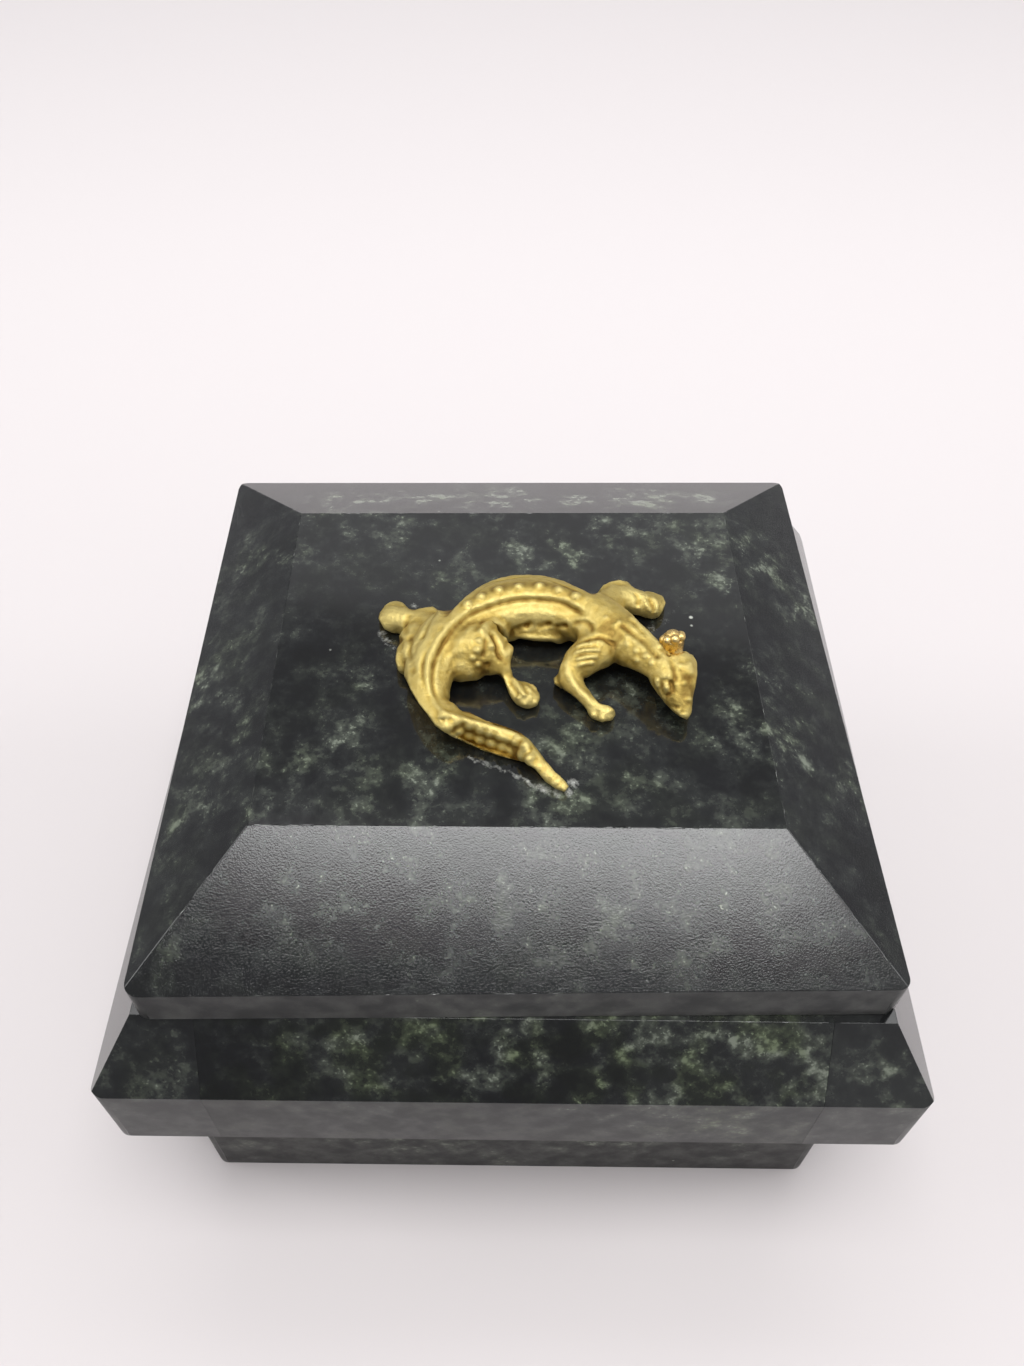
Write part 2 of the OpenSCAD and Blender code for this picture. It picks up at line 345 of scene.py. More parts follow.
@dataclass
class StoneNodes:
    """The nodes of one stone's finish, which all follow the place in the rock, in millimetres."""

    kind: Serpentine
    tree: bpy.types.NodeTree
    in_mm: bpy.types.NodeSocket

    def patches(self, patch: Patches, shift: float = 0.0) -> bpy.types.NodeSocket:
        """Scatters soft round patches through the rock.

        Args:
            patch: The patches to scatter.
            shift: How far their noise levels are lowered, for more of them.

        Returns:
            How much of a patch there is, from 0 to 1.
        """
        lumps = add_node(self.tree, "ShaderNodeTexNoise", inputs={
            "Vector": self.in_mm, "Scale": 1 / patch.size_mm, "Detail": patch.detail, "Roughness": 0.55})
        return add_node(self.tree, "ShaderNodeMapRange", {"interpolation_type": "SMOOTHSTEP"}, {
            "Value": lumps.outputs["Fac"], "From Min": patch.start - shift,
            "From Max": patch.full - shift}).outputs["Result"]

    def clouds(self) -> bpy.types.NodeSocket:
        """Clouds the near-black ground with grey patches, in clusters, some of them green.

        Returns:
            The clouded colour.
        """
        kind, tree = self.kind, self.tree
        if kind.banked:
            bank = add_node(tree, "ShaderNodeAttribute", {"attribute_name": StonePiece.BANK})
            cluster = bank.outputs["Fac"]
        else:
            cluster = self.patches(kind.clusters, kind.cloudiness)
        weighed = []
        for patch, (times, plus) in ((cluster, kind.cluster_weight),
                                     (self.patches(kind.clouds), kind.cloud_weight),
                                     (self.patches(kind.small_clouds), kind.small_weight)):
            weighed.append(add_node(tree, "ShaderNodeMath", {"operation": "MULTIPLY_ADD"}, {
                0: patch, 1: times, 2: plus}).outputs["Value"])
        spread, cloud, broken = weighed
        flecked = add_node(tree, "ShaderNodeMath", {"operation": "MULTIPLY_ADD"}, {
            0: self.patches(kind.flecks), 1: kind.fleck_weight, 2: broken}).outputs["Value"]
        level = cloud
        for part in (spread, flecked):
            level = add_node(tree, "ShaderNodeMath", {"operation": "MULTIPLY"}, {
                0: level, 1: part}).outputs["Value"]
        shaded = add_node(tree, "ShaderNodeMath", {"operation": "MULTIPLY_ADD"}, {
            0: self.patches(kind.shades), 1: kind.shade_weight, 2: level}).outputs["Value"]
        ramp = add_node(tree, "ShaderNodeValToRGB", inputs={"Fac": shaded})
        stops = ramp.color_ramp.elements
        stops[0].color = linear(kind.deep)
        stops[1].color = linear(kind.pale)
        for at, tone in zip(kind.tone_levels, (kind.ground, kind.haze, kind.cloud)):
            stops.new(at).color = linear(tone)
        share = add_node(tree, "ShaderNodeMath", {"operation": "MULTIPLY"}, {
            0: self.patches(kind.greens), 1: kind.greenness}).outputs["Value"]
        return add_node(tree, "ShaderNodeMix", {"data_type": "RGBA", "blend_type": "MULTIPLY"}, {
            "Factor": share, 6: ramp.outputs["Color"], 7: linear(kind.green)}).outputs[2]

    def specks_and_glints(self, colour: bpy.types.NodeSocket) -> bpy.types.NodeSocket:
        """Scatters small pale specks: partly pale grains of the rock, partly painted glints of tiny pits.

        Args:
            colour: The clouded colour.

        Returns:
            The speckled colour.
        """
        kind, tree = self.kind, self.tree
        cell = add_node(tree, "ShaderNodeTexVoronoi", inputs={
            "Vector": self.in_mm, "Scale": 1 / kind.speck_mm})
        chance = add_node(tree, "ShaderNodeSeparateColor", inputs={"Color": cell.outputs["Color"]})
        size = add_node(tree, "ShaderNodeMapRange", inputs={
            "Value": chance.outputs["Red"], "From Min": kind.speck_chance,
            "To Max": kind.speck_size}).outputs["Result"]
        inside = add_node(tree, "ShaderNodeMath", {"operation": "SUBTRACT"}, {
            0: size, 1: cell.outputs["Distance"]}).outputs["Value"]
        speck = add_node(tree, "ShaderNodeMapRange", inputs={
            "Value": inside, "From Max": kind.speck_fade, "To Max": kind.speck_share}).outputs["Result"]
        return add_node(tree, "ShaderNodeMix", {"data_type": "RGBA"}, {
            "Factor": speck, 6: colour, 7: linear(kind.speck)}).outputs[2]

    def wear(self, colour: bpy.types.NodeSocket) -> bpy.types.NodeSocket:
        """Pales the eased edges where they are chipped.

        Args:
            colour: The stone's own colour.

        Returns:
            The worn colour.
        """
        edge = add_node(self.tree, "ShaderNodeAttribute", {"attribute_name": StonePiece.EDGE})
        mark_level = add_node(self.tree, "ShaderNodeMath", {"operation": "MULTIPLY"}, {
            0: edge.outputs["Fac"], 1: self.patches(self.kind.flakes)}).outputs["Value"]
        return add_node(self.tree, "ShaderNodeMix", {"data_type": "RGBA"}, {
            "Factor": mark_level, 6: colour, 7: linear(self.kind.wear)}).outputs[2]

    def tilt(self, levels: tuple[float, float]) -> bpy.types.NodeSocket:
        """Tells how far a face tilts, because each side of a stone is worked in its own way.

        Args:
            levels: The upward part of a face's normal at which it starts to count and counts in full.

        Returns:
            How far the face counts, from 0 to 1.
        """
        facing = add_node(self.tree, "ShaderNodeTexCoord").outputs["Normal"]
        up = add_node(self.tree, "ShaderNodeSeparateXYZ", inputs={"Vector": facing}).outputs["Z"]
        flat = add_node(self.tree, "ShaderNodeMath", {"operation": "ABSOLUTE"}, {0: up}).outputs["Value"]
        return add_node(self.tree, "ShaderNodeMapRange", inputs={
            "Value": flat, "From Min": levels[0], "From Max": levels[1]}).outputs["Result"]

    def hone(self, colour: bpy.types.NodeSocket) -> bpy.types.NodeSocket:
        """Greys the upright faces unevenly: they are honed, and their fine scratches scatter the light.

        Args:
            colour: The stone's own colour.

        Returns:
            The colour with the honed faces greyed.
        """
        kind, tree = self.kind, self.tree
        mottle = add_node(tree, "ShaderNodeMath", {"operation": "MULTIPLY_ADD"}, {
            0: self.patches(kind.mottles), 1: kind.mottle_weight[0],
            2: kind.mottle_weight[1]}).outputs["Value"]
        share = add_node(tree, "ShaderNodeMath", {"operation": "MULTIPLY"}, {
            0: self.tilt(kind.upright), 1: mottle}).outputs["Value"]
        return add_node(tree, "ShaderNodeMix", {"data_type": "RGBA", "blend_type": "ADD"}, {
            "Factor": share, 6: colour, 7: linear(kind.honed)}).outputs[2]

    def polish(self) -> tuple[bpy.types.NodeSocket, bpy.types.NodeSocket]:
        """Gives the hand polish: glossy on level faces, grainy on slopes and dull on honed ones.

        Returns:
            The roughness and the bumped normal.
        """
        kind, tree = self.kind, self.tree
        haze = add_node(tree, "ShaderNodeTexNoise", inputs={
            "Vector": self.in_mm, "Scale": 1 / kind.clouds.size_mm, "Detail": 5.0, "Roughness": 0.7})
        polished = add_node(tree, "ShaderNodeMapRange", inputs={
            "Value": haze.outputs["Fac"], "From Min": NOISE_SPAN[0], "From Max": NOISE_SPAN[1],
            "To Min": kind.uneven[0] * kind.roughness,
            "To Max": kind.uneven[1] * kind.roughness}).outputs["Result"]
        rough = add_node(tree, "ShaderNodeMix", {"data_type": "FLOAT"}, {
            "Factor": self.tilt(kind.upright), 2: polished, 3: kind.honed_roughness}).outputs[0]
        grain = add_node(tree, "ShaderNodeTexNoise", inputs={
            "Vector": self.in_mm, "Scale": 1 / kind.grain_mm, "Detail": 2.0, "Roughness": 0.6})
        bump = add_node(tree, "ShaderNodeBump", inputs={
            "Strength": self.tilt(kind.sloping), "Distance": kind.grain_depth_mm * MM,
            "Height": grain.outputs["Fac"]})
        return rough, bump.outputs["Normal"]

    def glue(self, colour: bpy.types.NodeSocket, rough: bpy.types.NodeSocket
             ) -> tuple[bpy.types.NodeSocket, bpy.types.NodeSocket]:
        """Smears dried glue that was squeezed out from under the casting: a dull film that ends in crumbs.

        Args:
            colour: The stone's own colour.
            rough: The stone's own roughness.

        Returns:
            The colour and the roughness with the film on them.
        """
        kind, tree = self.kind, self.tree
        smear = add_node(tree, "ShaderNodeAttribute", {"attribute_name": StonePiece.GLUE}).outputs["Fac"]
        crumbs = add_node(tree, "ShaderNodeTexNoise", inputs={
            "Vector": self.in_mm, "Scale": 1 / kind.crumb_mm, "Detail": 3.0, "Roughness": 0.7})
        thick = add_node(tree, "ShaderNodeMath", {"operation": "MULTIPLY"}, {
            0: smear, 1: crumbs.outputs["Fac"]}).outputs["Value"]
        film = add_node(tree, "ShaderNodeMapRange", inputs={
            "Value": thick, "From Min": kind.crumb_levels[0], "From Max": kind.crumb_levels[1],
            "To Max": kind.film_share}).outputs["Result"]
        filmed = add_node(tree, "ShaderNodeMix", {"data_type": "RGBA"}, {
            "Factor": film, 6: colour, 7: linear(kind.glue)}).outputs[2]
        dulled = add_node(tree, "ShaderNodeMix", {"data_type": "FLOAT"}, {
            "Factor": film, 2: rough, 3: kind.honed_roughness}).outputs[0]
        return filmed, dulled


@dataclass(frozen=True)
class Brass:
    """Brass, cast and lightly tumbled: satin old gold, darker in the hollows and bright on the ridges,
    partly from patina and rubbing and partly as painted shade, with painted light on faces turned up.
    """

    ridge: str = "#cfbc76"
    flat: str = "#baa257"
    hollow: str = "#80642a"
    tone_levels: tuple[float, float, float] = (0.3, 0.62, 0.95)
    roughness: float = 0.54
    uneven: tuple[float, float] = (0.8, 1.2)
    metal: float = 0.85
    # Painted light: faces that turn upward past a level are painted lighter, and the rest darker, as the
    # light from above falls on them.
    painted_top_light: float = 0.1
    painted_top_light_from: float = 0.7
    grain_mm: float = 0.35
    grain_depth_mm: float = 0.09
    stain_mm: float = 3.5
    stain_share: float = 0.3

    def material(self, name: str) -> bpy.types.Material:
        """Builds the finish.

        Args:
            name: The material's name.

        Returns:
            The material.
        """
        material, tree = new_material(name)
        spot = add_node(tree, "ShaderNodeTexCoord").outputs["Object"]
        in_mm = add_node(tree, "ShaderNodeMapping", inputs={
            "Vector": spot, "Scale": (1 / MM,) * 3}).outputs["Vector"]
        # Partly patina and rubbing, partly painted shade: the hollows are painted darker and the proud
        # points lighter.
        relief = add_node(tree, "ShaderNodeAttribute", {"attribute_name": Casting.RELIEF})
        stain = add_node(tree, "ShaderNodeTexNoise", inputs={
            "Vector": in_mm, "Scale": 1 / self.stain_mm, "Detail": 5.0, "Roughness": 0.65})
        # Painted light from above: the tone rises with the upward part of each face's normal.
        facing = add_node(tree, "ShaderNodeTexCoord").outputs["Normal"]
        up = add_node(tree, "ShaderNodeSeparateXYZ", inputs={"Vector": facing}).outputs["Z"]
        painted_top_light = add_node(tree, "ShaderNodeMath", {"operation": "MULTIPLY_ADD"}, {
            0: up, 1: self.painted_top_light, 2: -self.painted_top_light_from * self.painted_top_light}).outputs["Value"]
        # Adds the relief's patina and painted shade to the painted top light.
        mark_level = add_node(tree, "ShaderNodeMath", {"operation": "ADD"}, {
            0: relief.outputs["Fac"], 1: painted_top_light}).outputs["Value"]
        tone = add_node(tree, "ShaderNodeMath", {"operation": "MULTIPLY_ADD"}, {
            0: stain.outputs["Fac"], 1: self.stain_share, 2: mark_level}).outputs["Value"]
        ramp = add_node(tree, "ShaderNodeValToRGB", inputs={"Fac": tone})
        stops = ramp.color_ramp.elements
        stops[0].position, middle, stops[1].position = self.tone_levels
        stops[0].color = linear(self.hollow)
        stops[1].color = linear(self.ridge)
        stops.new(middle).color = linear(self.flat)
        grain = add_node(tree, "ShaderNodeTexNoise", inputs={
            "Vector": in_mm, "Scale": 1 / self.grain_mm, "Detail": 4.0, "Roughness": 0.6})
        rough = add_node(tree, "ShaderNodeMapRange", inputs={
            "Value": grain.outputs["Fac"], "From Min": NOISE_SPAN[0], "From Max": NOISE_SPAN[1],
            "To Min": self.uneven[0] * self.roughness,
            "To Max": self.uneven[1] * self.roughness}).outputs["Result"]
        bump = add_node(tree, "ShaderNodeBump", inputs={
            "Strength": 1.0, "Distance": self.grain_depth_mm * MM, "Height": grain.outputs["Fac"]})
        shader = add_node(tree, "ShaderNodeBsdfPrincipled", inputs={
            "Base Color": ramp.outputs["Color"], "Metallic": self.metal, "Roughness": rough,
            "Normal": bump.outputs["Normal"]})
        add_node(tree, "ShaderNodeOutputMaterial", inputs={"Surface": shader.outputs["BSDF"]})
        return material


@dataclass(frozen=True)
class CloudBank:
    """A cluster of pale clouds in a stone, centred where the photograph shows it."""

    pixel: Pixel
    radius_mm: float
    strength: float


def cloud_banks(*rows: tuple[float, float, float, float]) -> tuple[CloudBank, ...]:
    """Makes some clusters.

    Args:
        rows: For each, its column and row in the photograph, its radius in millimetres and its strength.

    Returns:
        The clusters.
    """
    return tuple(CloudBank((column, row), radius, strength) for column, row, radius, strength in rows)


@dataclass
class StonePiece:
    """One sawn stone of the box, with its edges eased, chipped and a little worn."""

    node: bpy.types.Object
    body: Body
    finish: Serpentine
    glued_to: BVHTree
    camera: PhotoCamera
    banks: tuple[CloudBank, ...] = ()
    smears: tuple[CloudBank, ...] = ()
    grid_mm: float = 0.7
    edge_mm: float = 0.14
    seam_mm: float = 0.04
    touch_mm: float = 0.02
    step_mm: float = 0.7
    chip_mm: float = 0.5
    chip_size_mm: float = 1.1
    chip_level: float = 0.55
    weld_mm: float = 0.01
    flat_deg: float = 1.0
    corner_deg: float = 24.0
    bank_reach: float = 3.0
    seam_shares: tuple[float, ...] = (0.1, 0.5, 0.9)
    edge_wear: float = 0.1
    chip_wear: float = 3.0

    EDGE = "worn_edge"
    BANK = "cloud_bank"
    GLUE = "glue_smear"

    def build(self) -> bpy.types.Object:
        """Dresses the stone.

        Returns:
            The piece that stands for the CAD node.
        """
        shape = bmesh.new()
        shape.from_mesh(self.node.data)
        bmesh.ops.remove_doubles(shape, verts=shape.verts, dist=self.weld_mm * MM)
        bmesh.ops.dissolve_limit(shape, angle_limit=math.radians(self.flat_deg),
                                 verts=shape.verts, edges=shape.edges)
        self._ease_edges(shape)
        if self.banks:
            self._cloud(shape)
        mesh = bpy.data.meshes.new(f"{self.node.name}_stone")
        shape.to_mesh(mesh)
        shape.free()
        finish = self.finish.material(f"polished_serpentine_{self.node.name}")
        return place(mesh.name, mesh, finish, self.body, self.node.name)

    def _cloud(self, shape: bmesh.types.BMesh) -> None:
        """Marks where the stone is clouded or smeared, on a grid cut over its faces.

        Args:
            shape: The stone, with its edges eased.
        """
        skin = BVHTree.FromBMesh(shape)
        low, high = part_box(self.node.name)
        for axis in range(2):
            across = Vector((axis == 0, axis == 1, 0))
            for count in range(1, int((high[axis] - low[axis]) / (self.grid_mm * MM))):
                bmesh.ops.bisect_plane(shape, geom=shape.verts[:] + shape.edges[:] + shape.faces[:],
                                       plane_co=low + across * count * self.grid_mm * MM, plane_no=across)
        for name, banks in ((self.BANK, self.banks), (self.GLUE, self.smears)):
            layer = shape.verts.layers.float.new(name)
            for bank in banks:
                centre = skin.ray_cast(self.camera.eye(), self.camera.ray(bank.pixel))[0]
                if centre is None:
                    LOG.warning("no stone at %s on %s", bank.pixel, self.node.name)
                    continue
                for point in shape.verts:
                    off = (point.co - centre).length_squared / (bank.radius_mm * MM) ** 2
                    if off < self.bank_reach ** 2:
                        point[layer] = max(point[layer], bank.strength * math.exp(-off))

    def _is_seam(self, edge: bmesh.types.BMEdge) -> bool:
        """Tells whether an edge lies along a glued joint all the way.

        Args:
            edge: The edge, before it is eased.

        Returns:
            Whether another stone touches it near both ends and in the middle.
        """
        a, b = (point.co for point in edge.verts)
        return all(self.glued_to.find_nearest(a.lerp(b, share), self.touch_mm * MM)[0] is not None
                   for share in self.seam_shares)

    def _ease_edges(self, shape: bmesh.types.BMesh) -> None:
        """Rounds the sawn edges and chips them, and marks the wear for the finish.

        Args:
            shape: The stone, with its flat faces whole.
        """
        sharp = [e for e in shape.edges if e.calc_face_angle(0.0) > math.radians(self.corner_deg)]
        seams = [e for e in sharp if self._is_seam(e)]
        free = [e for e in sharp if e not in set(seams)]
        for edge in free:
            cuts = int(edge.calc_length() / (self.step_mm * MM))
            if cuts:
                split = bmesh.ops.bisect_edges(shape, edges=[edge], cuts=cuts)
                free = free + [e for e in split["geom_split"] if isinstance(e, bmesh.types.BMEdge)]
        if seams:
            bmesh.ops.bevel(
                shape, geom=seams, offset=self.seam_mm * MM, offset_type="OFFSET", affect="EDGES",
                segments=1, profile=0.5, material=-1, clamp_overlap=True)
        free = list(dict.fromkeys(e for e in free if e.is_valid))
        eased = bmesh.ops.bevel(
            shape, geom=free, offset=self.edge_mm * MM, offset_type="OFFSET", affect="EDGES",
            segments=2, profile=0.5, material=-1, clamp_overlap=True)
        self._chip(shape, eased["faces"])

    def _chip(self, shape: bmesh.types.BMesh, eased: list[bmesh.types.BMFace]) -> None:
        """Breaks small chips out of the eased edges.

        Args:
            shape: The stone.
            eased: The faces along its edges.
        """
        mark_level = shape.verts.layers.float.new(self.EDGE)
        strip = set(eased)
        shape.normal_update()
        moves = {}
        for point in {p for face in strip for p in face.verts}:
            flats = [face for face in point.link_faces if face not in strip]
            if not flats:
                rough = noise.noise(point.co / (self.chip_size_mm * MM) + Vector(self.finish.cut_from))
                chip = max(0.0, rough - self.chip_level) / (1 - self.chip_level)
                moves[point] = -point.normal * chip * self.chip_mm * MM
                point[mark_level] = min(1.0, self.edge_wear + self.chip_wear * chip)
        for point, move in moves.items():
            point.co += move
        for face in strip:
            face.smooth = True


@dataclass(frozen=True)
class Stroke:
    """A line cut into the casting or raised on it, followed along its pixels in the photograph."""

    pixels: tuple[Pixel, ...]
    reach_mm: float
    height_mm: float
    fade: float = 0.2


@dataclass
class Casting:
    """A cast figure, sculpted from the CAD form."""

    node: bpy.types.Object
    camera: PhotoCamera
    voxel_mm: float = 0.17
    smoothing: int = 7
    weld_mm: float = 0.005
    ease: float = 0.5

    RELIEF = "relief"

    def rough_out(self, name: str) -> bpy.types.Mesh:
        """Turns the CAD form into one even skin.

        Args:
            name: The new mesh's name.

        Returns:
            The mesh, smoothed where its limbs join.
        """
        shape = bmesh.new()
        shape.from_mesh(self.node.data)
        bmesh.ops.remove_doubles(shape, verts=shape.verts, dist=self.weld_mm * MM)
        self.add_lumps(shape)
        draft = bpy.data.meshes.new(f"{name}_draft")
        shape.to_mesh(draft)
        shape.free()
        holder = bpy.data.objects.new(f"{name}_draft", draft)
        bpy.context.scene.collection.objects.link(holder)
        skin = holder.modifiers.new("skin", "REMESH")
        skin.mode = "VOXEL"
        skin.voxel_size = self.voxel_mm * MM
        mesh = bpy.data.meshes.new_from_object(holder.evaluated_get(bpy.context.evaluated_depsgraph_get()))
        mesh.name = name
        bpy.data.objects.remove(holder)
        bpy.data.meshes.remove(draft)
        self.settle(mesh, self.smoothing)
        return mesh

    def add_lumps(self, shape: bmesh.types.BMesh) -> None:
        """Adds the rounded forms that the CAD form lacks; a plain casting has none."""

    def settle(self, mesh: bpy.types.Mesh, rounds: int) -> None:
        """Smooths the skin, as a worn mould does.

        Args:
            mesh: The mesh to smooth.
            rounds: How many passes to make.
        """
        shape = bmesh.new()
        shape.from_mesh(mesh)
        for _ in range(rounds):
            bmesh.ops.smooth_vert(shape, verts=shape.verts, factor=self.ease,
                                  use_axis_x=True, use_axis_y=True, use_axis_z=True)
        for face in shape.faces:
            face.smooth = True
        shape.to_mesh(mesh)
        shape.free()

    def points(self, mesh: bpy.types.Mesh) -> tuple[np.ndarray, np.ndarray]:
        """Reads a mesh's points and their normals.

        Args:
            mesh: The mesh to read.

        Returns:
            Two arrays with a row for each point, the first in millimetres.
        """
        count = len(mesh.vertices)
        spots = np.empty(count * 3, np.float32)
        normals = np.empty(count * 3, np.float32)
        mesh.vertices.foreach_get("co", spots)
        mesh.vertex_normals.foreach_get("vector", normals)
        return spots.reshape(-1, 3).astype(float) / MM, normals.reshape(-1, 3).astype(float)

    def move(self, mesh: bpy.types.Mesh, spots: np.ndarray) -> None:
        """Puts a mesh's points at new places, given in metres."""
        mesh.vertices.foreach_set("co", spots.ravel())
        mesh.update()

    def trace(self, skin: BVHTree, pixels: tuple[Pixel, ...], per_span: int = 12) -> np.ndarray:
        """Finds where a smooth line through some pixels lies on the skin.

        Args:
            skin: The mesh to hit.
            pixels: The line's pixels in the photograph.
            per_span: How many steps to take between two pixels.

        Returns:
            The points hit, in millimetres, with a row for each.
        """
        ends = [pixels[0], *pixels, pixels[-1]]
        hits = []
        for a, b, c, d in zip(ends, ends[1:], ends[2:], ends[3:]):
            for t in np.linspace(0, 1, per_span, endpoint=False):
                at = [0.5 * (2 * q + (r - p) * t + (2 * p - 5 * q + 4 * r - s) * t * t
                             + (3 * q - p - 3 * r + s) * t ** 3) for p, q, r, s in zip(a, b, c, d)]
                hits.append(skin.ray_cast(self.camera.eye(), self.camera.ray(at))[0])
        hits.append(skin.ray_cast(self.camera.eye(), self.camera.ray(pixels[-1]))[0])
        return np.array([tuple(h) for h in hits if h]) / MM

    def weigh(self, mesh: bpy.types.Mesh, strokes: Iterable[Stroke]) -> np.ndarray:
        """Adds up how strongly some strokes act on each point.

        Args:
            mesh: The mesh that they lie on.
            strokes: The lines, each strongest along its middle.

        Returns:
            A value for each point.
        """
        skin = BVHTree.FromPolygons([v.co for v in mesh.vertices], [p.vertices for p in mesh.polygons])
        spots = self.points(mesh)[0]
        total = np.zeros(len(spots))
        for stroke in strokes:
            line = self.trace(skin, stroke.pixels)
            if len(line) == 0:
                LOG.warning("a stroke at %s misses the skin", stroke.pixels[0])
                continue
            low = line.min(axis=0) - stroke.reach_mm
            high = line.max(axis=0) + stroke.reach_mm
            near = np.flatnonzero(((spots > low) & (spots < high)).all(axis=1))
            gaps = np.linalg.norm(spots[near][:, None] - line[None], axis=2)
            along = gaps.argmin(axis=1) / max(1, len(line) - 1)
            share = np.clip(gaps.min(axis=1) / stroke.reach_mm, 0, 1)
            ends = np.ones(len(near))
            if len(line) > 1 and stroke.fade:
                ends = smooth(np.clip(np.minimum(along, 1 - along) / stroke.fade, 0, 1))
            total[near] += stroke.height_mm * (1 - share ** 2) ** 2 * ends
        return total

    def press(self, mesh: bpy.types.Mesh, strokes: Iterable[Stroke]) -> None:
        """Cuts and raises the strokes on a mesh, along its normals.

        Args:
            mesh: The mesh to sculpt.
            strokes: The lines to press.
        """
        lift = self.weigh(mesh, strokes)
        spots, normals = self.points(mesh)
        self.move(mesh, (spots + normals * lift[:, None]) * MM)

    def trim(self, mesh: bpy.types.Mesh, outline: tuple[Pixel, ...], share: float) -> None:
        """Draws the skin in to its outline in the photograph, each point at its own height.

        Args:
            mesh: The mesh to trim.
            outline: The closed outline's pixels.
            share: How much of the way to draw it.
        """
        spots = self.points(mesh)[0] * MM
        seen = self.camera.pixels(spots)
        starts = np.array(outline)
        spans = np.roll(starts, -1, axis=0) - starts
        inside = np.zeros(len(seen), bool)
        nearest = np.full(len(seen), np.inf)
        target = seen.copy()
        for start, span in zip(starts, spans):
            off = seen - start
            straddles = (off[:, 1] < 0) != (off[:, 1] < span[1])
            if span[1]:
                inside ^= straddles & (off[:, 0] < span[0] * off[:, 1] / span[1])
            foot = start + np.clip(off @ span / (span @ span), 0, 1)[:, None] * span
            gap = np.linalg.norm(seen - foot, axis=1)
            closer = gap < nearest
            nearest[closer] = gap[closer]
            target[closer] = foot[closer]
        drawn = seen[~inside] + share * (target - seen)[~inside]
        spots[~inside] = self.camera.at_heights(drawn, spots[~inside, 2])
        self.move(mesh, spots)

    def hammer(self, mesh: bpy.types.Mesh, sizes_mm: tuple[float, ...] = (1.0, 0.5),
               depth_mm: float = 0.06) -> None:
        """Gives the skin the small uneven bumps of a hand-worked mould.

        Args:
            mesh: The mesh to roughen.
            sizes_mm: How wide the bumps are, from broad to fine.
            depth_mm: How high the broad ones are; each finer set is lower in proportion.
        """
        spots, normals = self.points(mesh)
        lift = np.zeros(len(spots))
        for size in sizes_mm:
            bumps = [noise.noise(Vector(spot)) for spot in spots / size]
            lift += depth_mm * size / sizes_mm[0] * np.array(bumps)
        self.move(mesh, (spots + normals * lift[:, None]) * MM)

    def seat(self, mesh: bpy.types.Mesh, level: float) -> None:
        """Flattens what would sink below the surface that carries the casting.

        Args:
            mesh: The mesh to seat.
            level: The height of that surface in metres.
        """
        for point in mesh.vertices:
            point.co.z = max(point.co.z, level)
        mesh.update()

    def mark_relief(self, mesh: bpy.types.Mesh, patina_and_painted_light: Iterable[Stroke] = (), rounds: int = 6,
                    gain: float = 7.0, even: float = 0.5, soft_rounds: int = 2) -> None:
        """Stores how hollow or proud each point is, so that the finish can darken the hollows and lighten
        the proud points: partly patina and rubbing, partly painted shade.

        Args:
            mesh: The finished mesh.
            patina_and_painted_light: Where the brass is painted brighter, or duller if negative, whatever
                its form: partly patina, mostly painted light and shade that follow how the light falls on
                each part.
            rounds: How far the measure is spread over the points' neighbours.
            gain: How strongly it shows.
            even: The value of a point that is neither hollow nor proud.
            soft_rounds: How far the result is softened.
        """
        spots, normals = self.points(mesh)
        pairs = np.empty(len(mesh.edges) * 2, np.int32)
        mesh.edges.foreach_get("vertices", pairs)
        pairs = pairs.reshape(-1, 2)
        links = np.bincount(pairs.ravel(), minlength=len(spots)).clip(1)

        def spread(values: np.ndarray) -> np.ndarray:
            """Averages each point's neighbours.

            Args:
                values: A value or a row for each point.

            Returns:
                The mean of its neighbours' values, for each point.
            """
            total = np.zeros_like(values)
            np.add.at(total, pairs[:, 0], values[pairs[:, 1]])
            np.add.at(total, pairs[:, 1], values[pairs[:, 0]])
            return (total.T / links).T

        blurred = spots
        for _ in range(rounds):
            blurred = spread(blurred)
        proud = ((spots - blurred) * normals).sum(axis=1)
        for _ in range(soft_rounds):
            proud = spread(proud)
        level = np.clip(even + gain * proud + self.weigh(mesh, patina_and_painted_light), 0, 1).astype(np.float32)
        mesh.attributes.new(self.RELIEF, "FLOAT", "POINT").data.foreach_set("value", level)


@dataclass(frozen=True)
class Lump:
    """A rounded form of the casting, centred where the photograph shows it."""

    pixel: Pixel
    height_mm: float
    radii_mm: tuple[float, float, float]
    heading_deg: float = 0.0


def dabs(pixels: Iterable[Pixel], reach_mm: float, height_mm: float) -> tuple[Stroke, ...]:
    """Makes a round bump or pit at each of some pixels.

    Args:
        pixels: Where they are in the photograph.
        reach_mm: The radius of each.
        height_mm: How far it stands up, or down if negative.

    Returns:
        A stroke for each.
    """
    return tuple(Stroke((pixel,), reach_mm, height_mm) for pixel in pixels)


